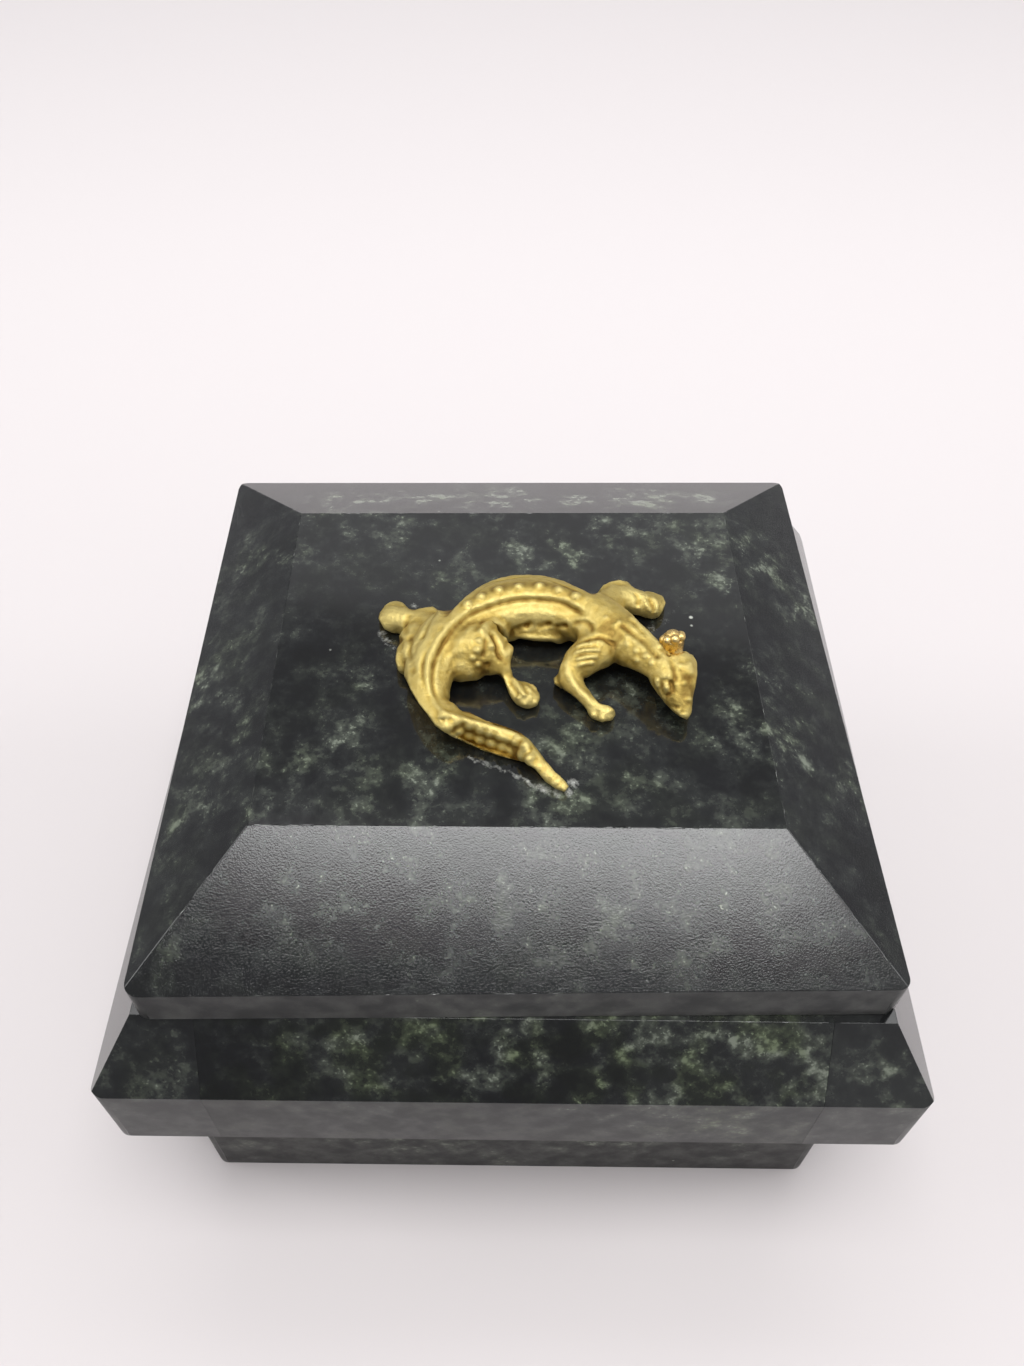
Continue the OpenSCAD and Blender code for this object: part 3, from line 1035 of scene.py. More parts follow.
@dataclass
class Lizard(Casting):
    """The brass lizard that lies curled on the lid."""

    outline: tuple[Pixel, ...] = (
        (380, 612.5), (385.5, 605), (391.5, 601.5), (398, 600), (403, 602.5), (408, 608), (413, 611),
        (420, 608.5), (432.5, 606.5), (437, 609.5), (440.5, 616.5), (445.5, 618.5), (454.5, 608),
        (465, 597.5), (479, 587), (493, 580), (510.5, 575.5), (528, 574.5), (545.5, 576), (563, 581),
        (580.5, 589), (594.5, 596), (598, 592.5), (603, 585.5), (610, 582), (619, 580), (628, 582),
        (636.5, 589), (654, 592.5), (662.5, 596), (666, 603), (662.5, 611.5), (655.5, 621), (647, 618.5),
        (638, 615), (634.5, 617), (640, 624), (650.5, 634.5), (657.5, 641.5), (664.5, 647), (676, 649),
        (687, 649), (692.5, 654), (697, 662.5), (697.5, 673), (696, 683.5), (694, 692), (696, 699),
        (694, 706), (690.5, 715), (687, 720), (680, 716.5), (673, 711.5), (666, 704), (659, 695.5),
        (652, 685), (647.5, 676.5), (636.5, 671), (626, 666.5), (613.5, 665.5), (601.5, 669), (591, 674.5),
        (586.5, 680), (587.5, 687), (592.5, 695.5), (599.5, 704), (608.5, 705.5), (614.5, 709.5),
        (615.5, 715), (612, 720), (601.5, 722), (592.5, 719), (589, 715), (585.5, 707.5), (577, 699),
        (570, 693.5), (561, 688.5), (554, 683.5), (554, 678), (558.5, 674.5), (560, 667.5), (563, 659),
        (568, 648.5), (563, 646.5), (552.5, 642), (535, 641), (517.5, 638), (514, 641.5), (514, 652),
        (510.5, 662.5), (510.5, 669.5), (515.5, 674.5), (524.5, 680), (535, 687), (539.5, 694), (540, 699),
        (536.5, 706), (529.5, 709), (522.5, 708), (514, 702.5), (510, 695.5), (506.5, 687), (503.5, 678),
        (500, 673.5), (493, 674.5), (486, 679), (475.5, 680.5), (463, 681.5), (456, 687), (452.5, 695.5),
        (454.5, 704.5), (461.5, 711.5), (475.5, 713), (493, 718.5), (510.5, 725.5), (524.5, 734),
        (535, 746.5), (545.5, 760.5), (556, 772.5), (566.5, 782), (569, 786.5), (564.5, 791.5), (556, 789),
        (545.5, 781.5), (535, 769), (524.5, 762), (510.5, 758.5), (496.5, 754), (479, 748), (461.5, 739.5),
        (444, 732), (435, 725.5), (428, 715), (419.5, 704.5), (411, 690.5), (405.5, 678), (398.5, 671),
        (395.5, 660.5), (397, 648.5), (405.5, 638), (395, 634.5), (384.5, 629), (378.5, 618.5),
    )
    far_hind_leg: tuple[Lump, ...] = (
        Lump((393, 617), 0.9, (2.6, 2.8, 1.4)),
        Lump((409, 624), 0.9, (1.8, 2.2, 1.2)),
        Lump((424, 621), 1.3, (2.9, 3.0, 1.9)),
    )
    rump_bulge: tuple[Lump, ...] = (
        Lump((404, 656), 1.3, (1.9, 3.0, 1.7)),
        Lump((415, 643), 1.8, (2.2, 3.0, 2.2)),
    )
    far_fore_leg: tuple[Lump, ...] = (
        Lump((614, 591), 1.5, (2.6, 2.4, 2.0)),
        Lump((628, 595), 2.0, (1.3, 1.3, 1.3)),
        Lump((651, 605), 0.9, (2.6, 2.3, 1.3), -20.0),
    )
    back: tuple[Lump, ...] = (
        Lump((446, 628), 1.8, (2.4, 1.6, 2.0)),
        Lump((478, 598), 2.8, (3.0, 1.6, 1.6), 35.0),
        Lump((503, 588), 3.2, (4.0, 1.6, 1.6), 15.0),
        Lump((530, 585.5), 3.4, (4.4, 1.6, 1.6)),
        Lump((558, 590), 3.2, (4.0, 1.6, 1.6), -18.0),
    )
    near_legs: tuple[Lump, ...] = (
        Lump((466, 660), 2.4, (3.2, 3.2, 2.6)),
        Lump((557.5, 682), 1.0, (1.1, 1.2, 1.0)),
        Lump((602, 713.5), 0.8, (2.1, 1.3, 1.2), -15.0),
        Lump((526, 695), 0.8, (2.4, 1.7, 1.1), -50.0),
        Lump((540, 634), 1.8, (4.5, 1.4, 1.8)),
    )
    cheeks: tuple[Lump, ...] = (
        Lump((689, 667), 2.6, (1.4, 2.0, 1.4)),
        Lump((657, 683), 2.2, (1.2, 1.8, 1.5)),
    )
    spine: tuple[Stroke, ...] = (
        Stroke(((586, 616), (573.5, 608), (557.5, 601), (530, 598.5), (507, 601), (484, 608), (467.5, 615),
                (450.5, 630), (440.5, 647), (434, 662), (432, 680), (434, 694), (440.5, 708.5)),
               0.55, -0.28, 0.08),
        Stroke(((586, 620), (573.5, 612.5), (557.5, 606.5), (530, 604), (507, 606), (484, 613), (467.5, 621),
                (453, 636), (444, 650), (438, 665)), 1.3, -0.3, 0.12),
        Stroke(((590, 603), (575, 596), (558, 591), (540, 587), (519, 587), (501, 590), (488, 595),
                (469, 606)), 1.7, 0.15, 0.15),
        Stroke(((464.5, 612), (445, 632), (431, 654.5), (427.5, 668.5), (427, 679.5), (429, 689),
                (433.5, 699), (440.5, 709.5)), 0.8, 0.2, 0.15),
        Stroke(((464.5, 603), (488.5, 585), (518.5, 578), (543.5, 579), (566.5, 587), (587.5, 597.5)),
               0.4, -0.12),
        *dabs(((467.5, 604), (481, 597), (498.5, 590.5), (518.5, 587.5), (539.5, 586.5), (558.5, 590.5),
               (576, 596.5)), 0.85, 0.42),
    )
    rump: tuple[Stroke, ...] = (
        Stroke(((426.5, 648), (423, 661.5), (422.5, 670.5), (424, 679.5), (430, 697), (441.5, 712.5)),
               0.5, -0.2),
        Stroke(((437, 610.5), (432.5, 616), (428.5, 622), (424, 633), (420, 641)), 0.7, -0.25),
        Stroke(((407, 634.5), (410.5, 641), (409, 648), (409, 655), (411, 661.5)), 0.7, -0.25),
        Stroke(((409.5, 612.5), (406, 619.5), (405, 627.5), (407, 635.5)), 0.7, -0.2),
        Stroke(((425.5, 632), (415, 648), (411.5, 664), (414, 678)), 0.8, -0.15),
        Stroke(((440, 672), (450.5, 672.5)), 0.35, -0.07),
    )
    thigh: tuple[Stroke, ...] = (
        Stroke(((476, 634), (483, 623), (494, 617.5), (502, 620.5), (508, 628), (512, 636), (514, 642)),
               0.6, -0.18),
        Stroke(((480, 637), (485, 627), (494, 622.5), (501, 625), (505.5, 632), (508.5, 641), (509, 651),
                (507, 660)), 1.0, 0.55),
        Stroke(((491, 631.5), (495, 638), (498, 645.5), (499, 652), (502, 663)), 0.8, -0.5),
        Stroke(((486, 636.5), (485.5, 643.5), (484.5, 652), (481, 659.5)), 0.6, -0.2),
        *dabs(((493, 626.7),), 0.9, 0.25),
        *dabs(((481, 631.5), (479.3, 640.7), (472.6, 658), (478, 664.5), (505, 639)), 0.6, 0.25),
        *dabs(((477.5, 650.5), (492, 645.6)), 0.75, 0.35),
        *dabs(((487, 665),), 0.6, -0.22),
    )
    hind_foot: tuple[Stroke, ...] = (
        Stroke(((512, 677), (518, 685.5), (523, 693.5), (526, 697.5)), 0.5, 0.25),
        Stroke(((521, 677), (529, 683), (537, 690)), 0.45, 0.2),
        Stroke(((508.5, 679.5), (513.5, 688.5), (518, 696)), 0.5, -0.18),
        Stroke(((520.5, 680.5), (526.5, 689), (530, 693.5)), 0.5, -0.18),
        *dabs(((518, 698), (524.5, 704), (536, 702)), 0.5, 0.2),
    )
    flank: tuple[Stroke, ...] = (
        Stroke(((510.5, 629.5), (523, 626.7), (533.7, 621.8)), 0.6, -0.18),
        Stroke(((536.5, 628), (545, 625.5), (553.5, 623)), 0.6, -0.15),
        Stroke(((554, 628), (561.5, 626), (568, 625.5)), 0.6, -0.15),
        Stroke(((514.5, 633), (523, 633.5), (537, 632.5), (551, 633), (565, 635)), 0.8, -0.15),
        Stroke(((518, 636), (535, 638.5), (549, 639), (560, 642)), 0.5, 0.15),
        *dabs(((527, 626.5), (548, 624.5), (565, 627)), 0.6, -0.2),
    )
    fore_leg: tuple[Stroke, ...] = (
        Stroke(((571.5, 624.5), (582.5, 622.5), (591.5, 626.5), (590.5, 634)), 0.5, -0.2),
        Stroke(((580, 642), (593, 638.5), (601, 637.5), (608.5, 642), (616, 645)), 0.5, -0.22),
        Stroke(((575, 648), (583, 645), (593, 644)), 0.45, 0.25),
        Stroke(((573, 653.5), (586, 650.5), (602, 650.5)), 0.45, 0.25),
        Stroke(((575, 660), (587, 657.5), (599, 656.5)), 0.45, 0.25),
        Stroke(((577, 665.5), (586, 663.5), (595, 662.5)), 0.45, 0.25),
        Stroke(((565, 658), (568.5, 674.5), (576, 686.5), (587, 698), (593.5, 707)), 0.7, 0.2),
        Stroke(((597.5, 710), (597.5, 720)), 0.5, -0.12),
        *dabs(((581.4, 630),), 1.35, 0.3),
        *dabs(((593, 715.5), (602, 719), (611, 710)), 0.6, 0.25),
    )
    neck: tuple[Stroke, ...] = (
        Stroke(((630, 617), (640, 626), (651, 637), (663, 649)), 0.7, 0.3, 0.08),
        Stroke(((619, 622), (632, 633), (644, 642), (654, 653), (661, 659)), 0.7, -0.25, 0.2),
        *dabs(((627, 644), (636.5, 660), (635.5, 650.5), (645.5, 656), (651, 662.5), (619.5, 622.5),
               (606.5, 618), (615, 625.5)), 0.6, 0.18),
        *dabs(((669, 654),), 0.5, -0.4),
    )
    head: tuple[Stroke, ...] = (
        Stroke(((669.3, 656), (672.5, 664.6), (674.7, 677.6), (671.4, 684), (677, 695)), 0.6, -0.22),
        Stroke(((661.5, 681), (668, 680.5), (671.5, 685.5), (670.5, 693), (665, 695), (661.5, 689.5),
                (661.5, 681)), 0.4, -0.14, 0.0),
        Stroke(((657, 678), (656.5, 683), (658.5, 688)), 0.5, 0.25),
        Stroke(((668, 706), (677, 708), (683.5, 714.5)), 0.4, -0.1),
        *dabs(((666.3, 687.4),), 0.5, 0.25),
        *dabs(((687.7, 669),), 1.2, 0.3),
        *dabs(((680.5, 665.5), (690, 663.5), (684.5, 683), (687.5, 699.5), (679, 710.5), (690, 699.5)),
              0.5, 0.15),
        *dabs(((671, 683),), 0.45, -0.15),
    )
    tail: tuple[Stroke, ...] = (
        Stroke(((430, 695), (435.5, 704.5), (444.5, 713), (455.5, 716.5), (471, 720.8), (486, 725.3),
                (501.5, 729.7), (512, 733), (522, 738.5), (530, 745)), 0.5, 0.25),
        Stroke(((431, 725.5), (445.5, 732), (461, 739), (477, 746), (497.5, 752.5), (512, 757)), 0.4, 0.2),
        Stroke(((526, 757), (530, 750), (534, 745)), 0.5, -0.15),
        *dabs(((443, 719.4),), 0.35, -0.4),
    )
    far_paw: tuple[Stroke, ...] = (
        Stroke(((635, 592), (639, 599.5), (635.5, 606.5)), 0.6, -0.25),
        Stroke(((643, 598.5), (647.5, 607), (652, 612.5)), 0.45, 0.2),
        Stroke(((653, 596.5), (657, 604.5), (655.5, 614.5)), 0.45, 0.2),
        Stroke(((648, 597), (652, 605), (654, 613)), 0.5, -0.15),
    )
    # Painted light and shade: parts that the light reaches well are painted brighter and the shaded ones
    # duller; the dull head is partly patina.
    patina_and_painted_light: tuple[Stroke, ...] = (
        Stroke(((664, 690), (680, 690), (688, 668)), 4.5, -0.3),
        Stroke(((470, 674), (490, 668), (503, 655)), 2.2, -0.25),
        Stroke(((495, 622), (528, 614), (556, 622)), 2.4, 0.25),
        Stroke(((452, 655), (456, 672)), 2.4, 0.2),
        Stroke(((412, 640), (420, 665)), 4.0, 0.2),
        Stroke(((620, 595), (650, 603)), 3.5, 0.25),
        Stroke(((472, 601), (500, 587), (530, 583), (560, 588), (590, 600)), 1.7, -0.2),
        Stroke(((600, 622), (625, 640)), 4.0, -0.25),
        *dabs(((522, 697), (601, 713), (395, 616), (428, 620)), 3.0, 0.3),
    )
    ridge_line: tuple[Pixel, ...] = (
        (441, 711), (456, 716.5), (471, 721), (486, 725.5), (501.5, 730), (512, 733.5), (522, 739),
        (530, 745.5),
    )
    edge_line: tuple[Pixel, ...] = (
        (438, 728), (461, 739), (479, 747.5), (496.5, 753.5), (510.5, 758), (530, 765),
    )
    top_line: tuple[Pixel, ...] = (
        (454, 702), (461.5, 710.5), (475.5, 712), (493, 717.5), (510.5, 724.5), (530, 740),
    )
    ridge_heights_mm: tuple[float, float] = (4.0, 2.0)
    face_fade: float = 0.3
    face_bow: float = 1.3
    face_reach: float = 1.05
    top_fall: float = 0.25
    trim_shares: tuple[float, ...] = (0.5, 0.5, 1.0)
    trim_rounds: int = 3
    scale_count: int = 9
    scale_rows: tuple[float, ...] = (0.25, 0.7)
    scale_mm: tuple[float, float] = (0.95, 0.34)
    scale_start: float = 0.25
    row_shift: float = 0.5
    scale_wander: float = 0.25
    wander_turns: tuple[int, int] = (7, 3)
    ring_mm: tuple[float, float] = (0.4, -0.1)
    tip_rings: tuple[Pixel, ...] = ((534.5, 760.5), (543.5, 769.5), (553, 779), (559.5, 783.5))
    tip_reach: Pixel = (4.5, -4.2)

    def build(self) -> bpy.types.Object:
        """Sculpts and dresses the lizard.

        Returns:
            The piece that stands for the CAD lizard.
        """
        mesh = self.rough_out("brass_lizard")
        for share in self.trim_shares:
            self.trim(mesh, self.outline, share)
            self.settle(mesh, self.trim_rounds)
        self._face_tail(mesh)
        self.press(mesh, (*self.spine, *self.rump, *self.thigh, *self.flank, *self.fore_leg, *self.tail))
        self.press(mesh, (*self.hind_foot, *self.neck, *self.head, *self.far_paw, *self._tail_scales()))
        self.hammer(mesh)
        self.settle(mesh, 1)
        self.seat(mesh, self._lid_top())
        self.mark_relief(mesh, self.patina_and_painted_light)
        finish = Brass().material("cast_brass_satin")
        return place(mesh.name, mesh, finish, Body.LID, self.node.name)

    def add_lumps(self, shape: bmesh.types.BMesh) -> None:
        """Adds the paws, hips and cheeks that round the CAD form out.

        Args:
            shape: The CAD form, before it gets its even skin.
        """
        for lump in (*self.far_hind_leg, *self.rump_bulge, *self.back, *self.far_fore_leg, *self.near_legs,
                     *self.cheeks):
            centre = self.camera.on_level(lump.pixel, self._lid_top() + lump.height_mm * MM)
            stretch = Matrix.Diagonal(Vector(lump.radii_mm) * MM).to_4x4()
            turn = Matrix.Rotation(math.radians(lump.heading_deg), 4, "Z")
            bmesh.ops.create_icosphere(shape, subdivisions=3, radius=1.0,
                                       matrix=Matrix.Translation(centre) @ turn @ stretch)

    def _lid_top(self) -> float:
        """Gives the height of the lid's flat top in metres."""
        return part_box("lid_slab")[1].z

    def _face_tail(self, mesh: bpy.types.Mesh) -> None:
        """Gives the tail a narrow level top and a steep near face, which meet along its ridge.

        Args:
            mesh: The trimmed mesh.
        """
        spots, normals = self.points(mesh)
        spots = spots * MM
        seen = self.camera.pixels(spots)
        facing = ((spots - np.array(self.camera.eye())) * normals).sum(axis=1) < 0
        crest = np.array(self.ridge_line)
        along = np.interp(seen[:, 0], crest[:, 0], np.linspace(0, 1, len(crest)))
        ridge_row = np.interp(seen[:, 0], crest[:, 0], crest[:, 1])
        edge_row = np.interp(seen[:, 0], *np.array(self.edge_line).T)
        top_row = np.interp(seen[:, 0], *np.array(self.top_line).T)
        ridge = np.interp(along, (0, 1), self.ridge_heights_mm)
        down = (seen[:, 1] - ridge_row) / np.maximum(edge_row - ridge_row, 1)
        up = (ridge_row - seen[:, 1]) / np.maximum(ridge_row - top_row, 1)
        near_side = ridge * (1 - np.clip(down, 0, 1) ** self.face_bow)
        top = ridge * (1 - self.top_fall * np.clip(up, 0, 1))
        height = np.where(down > 0, near_side, top)
        inside = ((seen[:, 0] > crest[0, 0]) & (seen[:, 0] < crest[-1, 0])
                  & (down < self.face_reach) & (up < 1.0) & facing)
        ends = np.clip(np.minimum(along, 1 - along) / self.face_fade, 0, 1)
        target = self.camera.at_heights(seen, self._lid_top() + height * MM)
        spots[inside] += (smooth(ends)[:, None] * (target - spots))[inside]
        self.move(mesh, spots)
        self.settle(mesh, self.trim_rounds)

    def _tail_scales(self) -> list[Stroke]:
        """Lays rows of small scales on the tail's near face, and rings round its tip.

        Returns:
            The raised scales and the cuts between the rings.
        """
        def between(share: float, along: float) -> Pixel:
            """Finds a pixel on the tail's near face.

            Args:
                share: The share of the way from the ridge to the lower edge.
                along: The share of the way along the tail.

            Returns:
                Its column and row in the photograph.
            """
            ends = []
            for line in (self.ridge_line, self.edge_line):
                knots = np.linspace(0, 1, len(line))
                ends.append([np.interp(along, knots, axis) for axis in np.array(line).T])
            return tuple(f + (n - f) * share for f, n in zip(*ends))

        strokes = []
        for row, share in enumerate(self.scale_rows):
            for count in range(self.scale_count):
                sway = math.sin(self.wander_turns[0] * count + self.wander_turns[1] * row)
                along = count + self.scale_start + self.row_shift * row + self.scale_wander * sway
                strokes.append(Stroke((between(share, along / self.scale_count),), *self.scale_mm))
        for ring in self.tip_rings:
            ends = [tuple(c + side * reach for c, reach in zip(ring, self.tip_reach)) for side in (-1, 1)]
            strokes.append(Stroke((ends[0], ring, ends[1]), *self.ring_mm))
        return strokes


@dataclass
class CrestKnob(Casting):
    """The small bright knob on the lizard's head."""

    voxel_mm: float = 0.06
    smoothing: int = 4
    collar_mm: tuple[float, float, float] = (1.25, 1.5, 2.0)
    collar_sides: int = 24
    finish: Brass = Brass(ridge="#f0d99a", flat="#dcb970", hollow="#7c5a26", roughness=0.3, metal=1.0)

    def add_lumps(self, shape: bmesh.types.BMesh) -> None:
        """Thickens the stem into a stout collar under the lobes.

        Args:
            shape: The CAD knob, whose stem starts at its lowest point.
        """
        foot = Vector(min((point.co for point in shape.verts), key=lambda co: co.z))
        middle = sum((point.co for point in shape.verts), Vector()) / len(shape.verts)
        way = (middle - foot).normalized()
        wide, narrow, tall = (size * MM for size in self.collar_mm)
        seat = Matrix.Translation(middle - way * tall / 2) @ way.to_track_quat("Z", "Y").to_matrix().to_4x4()
        bmesh.ops.create_cone(shape, cap_ends=True, cap_tris=False, segments=self.collar_sides,
                              radius1=wide, radius2=narrow, depth=tall, matrix=seat)

    def build(self) -> bpy.types.Object:
        """Refines and dresses the knob.

        Returns:
            The piece that stands for the CAD knob.
        """
        mesh = self.rough_out("bright_crest_knob")
        self.mark_relief(mesh)
        finish = self.finish.material("bright_brass_knob")
        return place(mesh.name, mesh, finish, Body.LID, self.node.name)


@dataclass
class TrinketBox:
    """All the stones of the box and its lid."""

    nodes: dict
    record: dict
    camera: PhotoCamera
    metal: tuple[str, ...] = ("lizard", "crest_knob")
    block_mm: float = 137.0
    block_lean: float = 0.37
    rock: dict[str, tuple[float, ...]] = field(default_factory=lambda: {
        "rim_front": (0.0, 1.0, 0.4), "rim_right": (0.0, 0.2), "rim_left": (0.0, 0.4),
        **{f"wall_{side}": (-0.1, 0.1, 0.1) for side in ("front", "back", "left", "right")}})
    chipped: dict[str, float] = field(default_factory=lambda: {"lid_slab": 0.3})
    crisp: dict[str, float] = field(default_factory=lambda: {"rim_front": 0.05})
    smears: dict[str, tuple[CloudBank, ...]] = field(default_factory=lambda: {
        "lid_slab": cloud_banks(
            (382, 633, 0.9, 0.8), (387, 641, 0.9, 0.8), (393, 648, 0.8, 0.6), (414, 606, 0.8, 0.8),
            (652, 628, 1.4, 0.55), (664, 621, 1.5, 0.5), (673, 611, 1.1, 0.45), (469, 757, 0.6, 0.7),
            (478, 761, 0.6, 0.9), (487, 764, 0.6, 0.8), (496, 768, 0.6, 0.9), (507, 771, 0.6, 0.8),
            (518, 777, 0.6, 1.0), (527, 782, 0.6, 0.9), (537, 787, 0.7, 1.0), (547, 790, 0.7, 1.1),
            (558, 794, 0.7, 1.0), (568, 793, 0.7, 1.1), (573, 783, 0.8, 1.1), (561, 770, 0.5, 0.8),
            (551, 760, 0.5, 0.7), (530, 731, 1.0, 0.4))})
    banks: dict[str, tuple[CloudBank, ...]] = field(default_factory=lambda: {
        "lid_slab": cloud_banks(
            (299, 550, 3.5, 0.8), (344, 528, 6.0, 0.45), (403, 530, 5.0, 0.45), (450, 567, 4.0, 0.6),
            (529, 542, 6.0, 0.7), (574, 556, 5.0, 0.8), (619, 530, 6.0, 0.7), (697, 550, 6.0, 0.7),
            (762, 562, 5.0, 0.9), (720, 587, 4.0, 0.8), (650, 600, 3.5, 0.7), (762, 677, 4.5, 0.9),
            (748, 719, 6.0, 0.9), (785, 740, 6.0, 0.9), (361, 677, 5.0, 0.6), (344, 730, 3.5, 0.6),
            (330, 758, 4.5, 0.9), (299, 760, 4.0, 0.7), (403, 792, 5.0, 0.7), (344, 792, 4.0, 0.6),
            (436, 770, 4.0, 0.5), (574, 736, 4.5, 0.6), (613, 702, 4.0, 0.6), (563, 803, 4.0, 0.7),
            (641, 790, 3.5, 0.6), (209, 691, 7.0, 0.6), (235, 730, 5.0, 0.7), (258, 560, 6.0, 0.5),
            (265, 814, 3.0, 0.9), (190, 800, 6.0, 0.5), (830, 640, 7.0, 0.5), (800, 600, 6.0, 0.6),
            (845, 780, 6.0, 0.4), (304, 905, 7.0, 0.36), (394, 862, 6.0, 0.32), (467, 893, 7.0, 0.32),
            (540, 870, 6.0, 0.27), (613, 938, 6.0, 0.36), (560, 960, 5.0, 0.32), (670, 945, 5.0, 0.32),
            (742, 904, 7.0, 0.36), (840, 945, 5.0, 0.36), (175, 970, 5.0, 0.36), (400, 975, 5.0, 0.23),
            (690, 850, 6.0, 0.27), (500, 500, 7.0, 1.4), (640, 498, 6.0, 1.4), (360, 500, 7.0, 1.4),
            (425, 497, 5.0, 1.2), (575, 500, 4.0, 1.2), (700, 499, 4.0, 1.2)),
        "rim_front": cloud_banks(
            (321, 1042, 5.0, 0.65), (372, 1052, 5.5, 0.75), (265, 1060, 4.0, 0.2),
            (462, 1046, 6.0, 0.85), (523, 1052, 6.0, 0.85), (585, 1040, 6.0, 0.85),
            (641, 1045, 6.0, 0.8), (686, 1078, 6.0, 0.8), (742, 1050, 8.0, 0.9), (804, 1067, 7.0, 0.85),
            (600, 1110, 6.0, 0.8), (340, 1118, 6.0, 0.6), (740, 1120, 7.0, 0.9)),
        "rim_right": cloud_banks(
            (877, 1067, 4.0, 0.6), (905, 1090, 4.0, 0.5)),
        "rim_left": cloud_banks(
            (150, 1080, 4.0, 0.3), (175, 1055, 4.0, 0.3))})

    def build(self) -> None:
        """Dresses each stone, cut from its own part of the rock."""
        bodies = self.record["behaviour"]["bodies"]
        stones = [(body, node) for body, nodes in bodies.items() for node in nodes if node not in self.metal]
        for count, (body, node) in enumerate(stones):
            cut_from = (self.block_mm * count, self.block_lean * self.block_mm * count, 0.0)
            banks = self.banks.get(node, ())
            finish = Serpentine(cut_from, *self.rock.get(node, ()), banked=bool(banks))
            glued_to = self._others([other for at, other in stones if at == body and other != node])
            chip_level = self.chipped.get(node, StonePiece.chip_level)
            StonePiece(self.nodes[node], Body(body), finish, glued_to, self.camera, banks,
                       self.smears.get(node, ()), chip_level=chip_level,
                       edge_mm=self.crisp.get(node, StonePiece.edge_mm)).build()

    def _others(self, names: list[str]) -> BVHTree:
        """Gathers the faces of the stones that one may be glued to.

        Args:
            names: The stones' nodes.

        Returns:
            A tree of their faces.
        """
        points = []
        faces = []
        for name in names:
            mesh = self.nodes[name].data
            faces += [[len(points) + i for i in face.vertices] for face in mesh.polygons]
            points += [point.co for point in mesh.vertices]
        return BVHTree.FromPolygons(points, faces)


@dataclass(frozen=True)
class SoftLight:
    """A flat soft light that faces the box."""

    name: str
    size_m: tuple[float, float]
    place_m: tuple[float, float, float]
    watts: float
    twist_deg: float = 0.0

    def build(self) -> None:
        """Hangs the light."""
        data = bpy.data.lights.new(self.name, "AREA")
        data.shape = "RECTANGLE"
        data.size, data.size_y = self.size_m
        data.energy = self.watts
        lamp = bpy.data.objects.new(self.name, data)
        aim = (-Vector(self.place_m)).to_track_quat("-Z", "Y").to_matrix().to_4x4()
        twist = Matrix.Rotation(math.radians(self.twist_deg), 4, "Z")
        lamp.matrix_world = Matrix.Translation(self.place_m) @ aim @ twist
        bpy.context.scene.collection.objects.link(lamp)


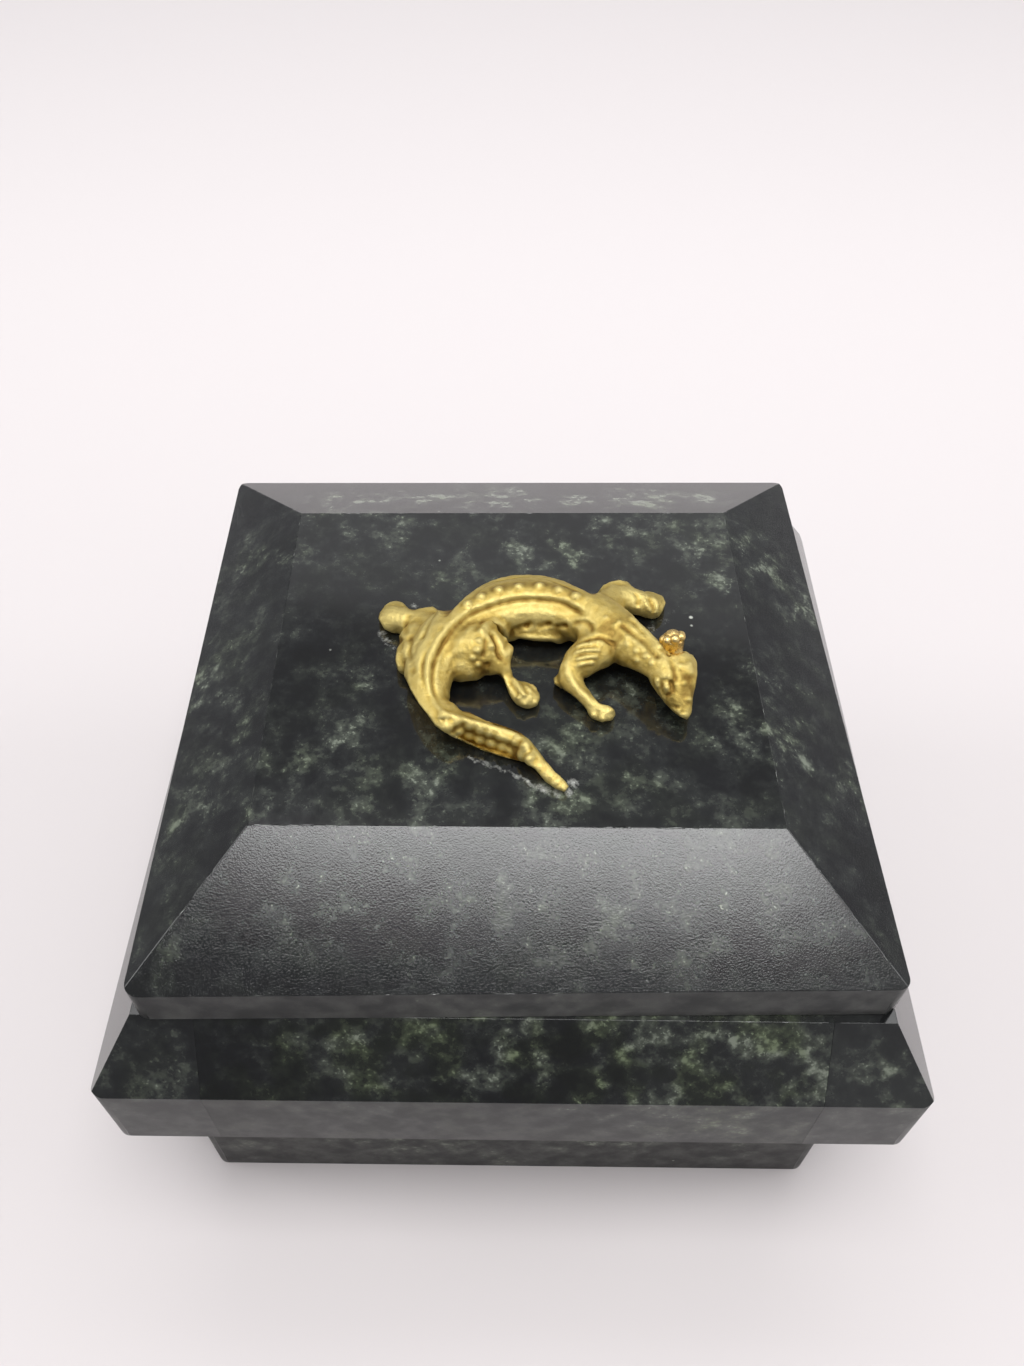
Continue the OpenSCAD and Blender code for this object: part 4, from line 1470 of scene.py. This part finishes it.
@dataclass
class Studio:
    """A white table under soft lights, in a pale room."""

    table_m: float = 3.0
    front_m: float = -0.072
    # Painted shade: the table is painted darker towards the front, where less light reaches it, and lighter
    # far off.
    shaded_near_white: str = "#d1cbcb"
    lit_far_white: str = "#e0dada"
    painted_shade_span_m: tuple[float, float] = (-0.08, 0.25)
    # Painted light: far off the table glows with its own emission, standing in for paper lit by the lamps.
    glow_from_m: tuple[float, float] = (0.7, 2.0)
    paper_glow: float = 0.8
    table_roughness: float = 0.6
    lights: tuple[SoftLight, ...] = (
        SoftLight("overhead_light", (0.7, 0.46), (0.03, -0.175, 1.07), 8.5, -14.0),
        SoftLight("high_back_light", (1.0, 0.25), (0.05, 0.44, 1.1), 2.2),
        SoftLight("left_light", (0.7, 0.7), (-1.3, 0.1, 0.8), 5.0),
        SoftLight("right_light", (0.7, 0.7), (1.3, 0.1, 0.8), 4.6),
        SoftLight("front_light", (2.4, 0.5), (0.0, -1.3, 1.5), 3.0),
        SoftLight("back_light", (2.5, 0.6), (0.2, 1.7, 1.45), 2.4),
    )
    room: str = "#a0a0a3"
    room_in_front: str = "#929295"
    room_turns: tuple[float, float] = (-0.6, 0.2)
    room_to_right: str = "#c0c0c2"
    right_turns: tuple[float, float] = (0.0, 0.4)
    paper: str = "#f2efee"

    def build(self) -> None:
        """Adds the table, the lights and the room."""
        self._table()
        for light in self.lights:
            light.build()
        self._room()
        view = bpy.context.scene.view_settings
        view.view_transform = "Standard"
        view.look = "None"

    def _table(self) -> None:
        """Adds the table top, which isn't mirrored in front, is painted darker towards the front as painted
        shade, and far off glows with its own emission, painted light that stands in for lit paper.
        """
        material, tree = new_material("white_table")
        spot = add_node(tree, "ShaderNodeTexCoord").outputs["Object"]
        along = add_node(tree, "ShaderNodeSeparateXYZ", inputs={"Vector": spot}).outputs["Y"]
        share = add_node(tree, "ShaderNodeMapRange", {"interpolation_type": "SMOOTHSTEP"}, {
            "Value": along, "From Min": self.painted_shade_span_m[0], "From Max": self.painted_shade_span_m[1]})
        white = add_node(tree, "ShaderNodeMix", {"data_type": "RGBA"}, {
            "Factor": share.outputs["Result"], 6: linear(self.shaded_near_white), 7: linear(self.lit_far_white)})
        away = add_node(tree, "ShaderNodeVectorMath", {"operation": "LENGTH"}, {0: spot}).outputs["Value"]
        glow = add_node(tree, "ShaderNodeMapRange", {"interpolation_type": "SMOOTHSTEP"}, {
            "Value": away, "From Min": self.glow_from_m[0], "From Max": self.glow_from_m[1],
            "To Max": self.paper_glow})
        shader = add_node(tree, "ShaderNodeBsdfPrincipled", inputs={
            "Base Color": white.outputs[2], "Roughness": self.table_roughness,
            "Emission Color": linear(self.paper), "Emission Strength": glow.outputs["Result"]})
        add_node(tree, "ShaderNodeOutputMaterial", inputs={"Surface": shader.outputs["BSDF"]})
        for name, far in (("table_behind", self.table_m), ("table_in_front", -self.table_m)):
            # A unit square, stretched to the table's size.
            shape = bmesh.new()
            bmesh.ops.create_grid(shape, x_segments=1, y_segments=1, size=0.5)
            stretch = Matrix.Diagonal((2 * self.table_m, abs(far - self.front_m), 1.0))
            bmesh.ops.transform(shape, matrix=stretch.to_4x4(), verts=shape.verts)
            bmesh.ops.translate(shape, vec=(0.0, (far + self.front_m) / 2, 0.0), verts=shape.verts)
            mesh = bpy.data.meshes.new(name)
            shape.to_mesh(mesh)
            shape.free()
            mesh.materials.append(material)
            table = bpy.data.objects.new(name, mesh)
            table.visible_glossy = far > 0
            bpy.context.scene.collection.objects.link(table)

    def _room(self) -> None:
        """Makes the room pale, dimmer to the front left, with white paper behind the table's far edge."""
        world = bpy.data.worlds.new("dim_room")
        world.use_nodes = True
        tree = world.node_tree
        tree.nodes.clear()
        way = add_node(tree, "ShaderNodeTexCoord").outputs["Generated"]
        parts = add_node(tree, "ShaderNodeSeparateXYZ", inputs={"Vector": way}).outputs
        walls = linear(self.room_in_front)
        for axis, turns, shade in (("X", self.right_turns, self.room_to_right),
                                   ("Y", self.room_turns, self.room)):
            share = add_node(tree, "ShaderNodeMapRange", {"interpolation_type": "SMOOTHSTEP"}, {
                "Value": parts[axis], "From Min": turns[0], "From Max": turns[1]})
            walls = add_node(tree, "ShaderNodeMix", {"data_type": "RGBA"}, {
                "Factor": share.outputs["Result"], 6: walls, 7: linear(shade)}).outputs[2]
        dim = add_node(tree, "ShaderNodeBackground", inputs={"Color": walls})
        paper = add_node(tree, "ShaderNodeBackground", inputs={"Color": linear(self.paper)})
        path = add_node(tree, "ShaderNodeLightPath")
        shown = add_node(tree, "ShaderNodeMixShader", inputs={
            "Fac": path.outputs["Is Camera Ray"], 1: dim.outputs["Background"],
            2: paper.outputs["Background"]})
        add_node(tree, "ShaderNodeOutputWorld", inputs={"Surface": shown.outputs["Shader"]})
        bpy.context.scene.world = world


def main() -> None:
    """Builds the box around its frame."""
    logging.basicConfig(level=logging.INFO, format="%(message)s")
    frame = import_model()
    camera = PhotoCamera()
    camera.build()
    Studio().build()
    TrinketBox(frame["nodes"], frame["record"], camera).build()
    Lizard(frame["nodes"]["lizard"], camera).build()
    CrestKnob(frame["nodes"]["crest_knob"], camera).build()


if __name__ == "__main__":
    main()
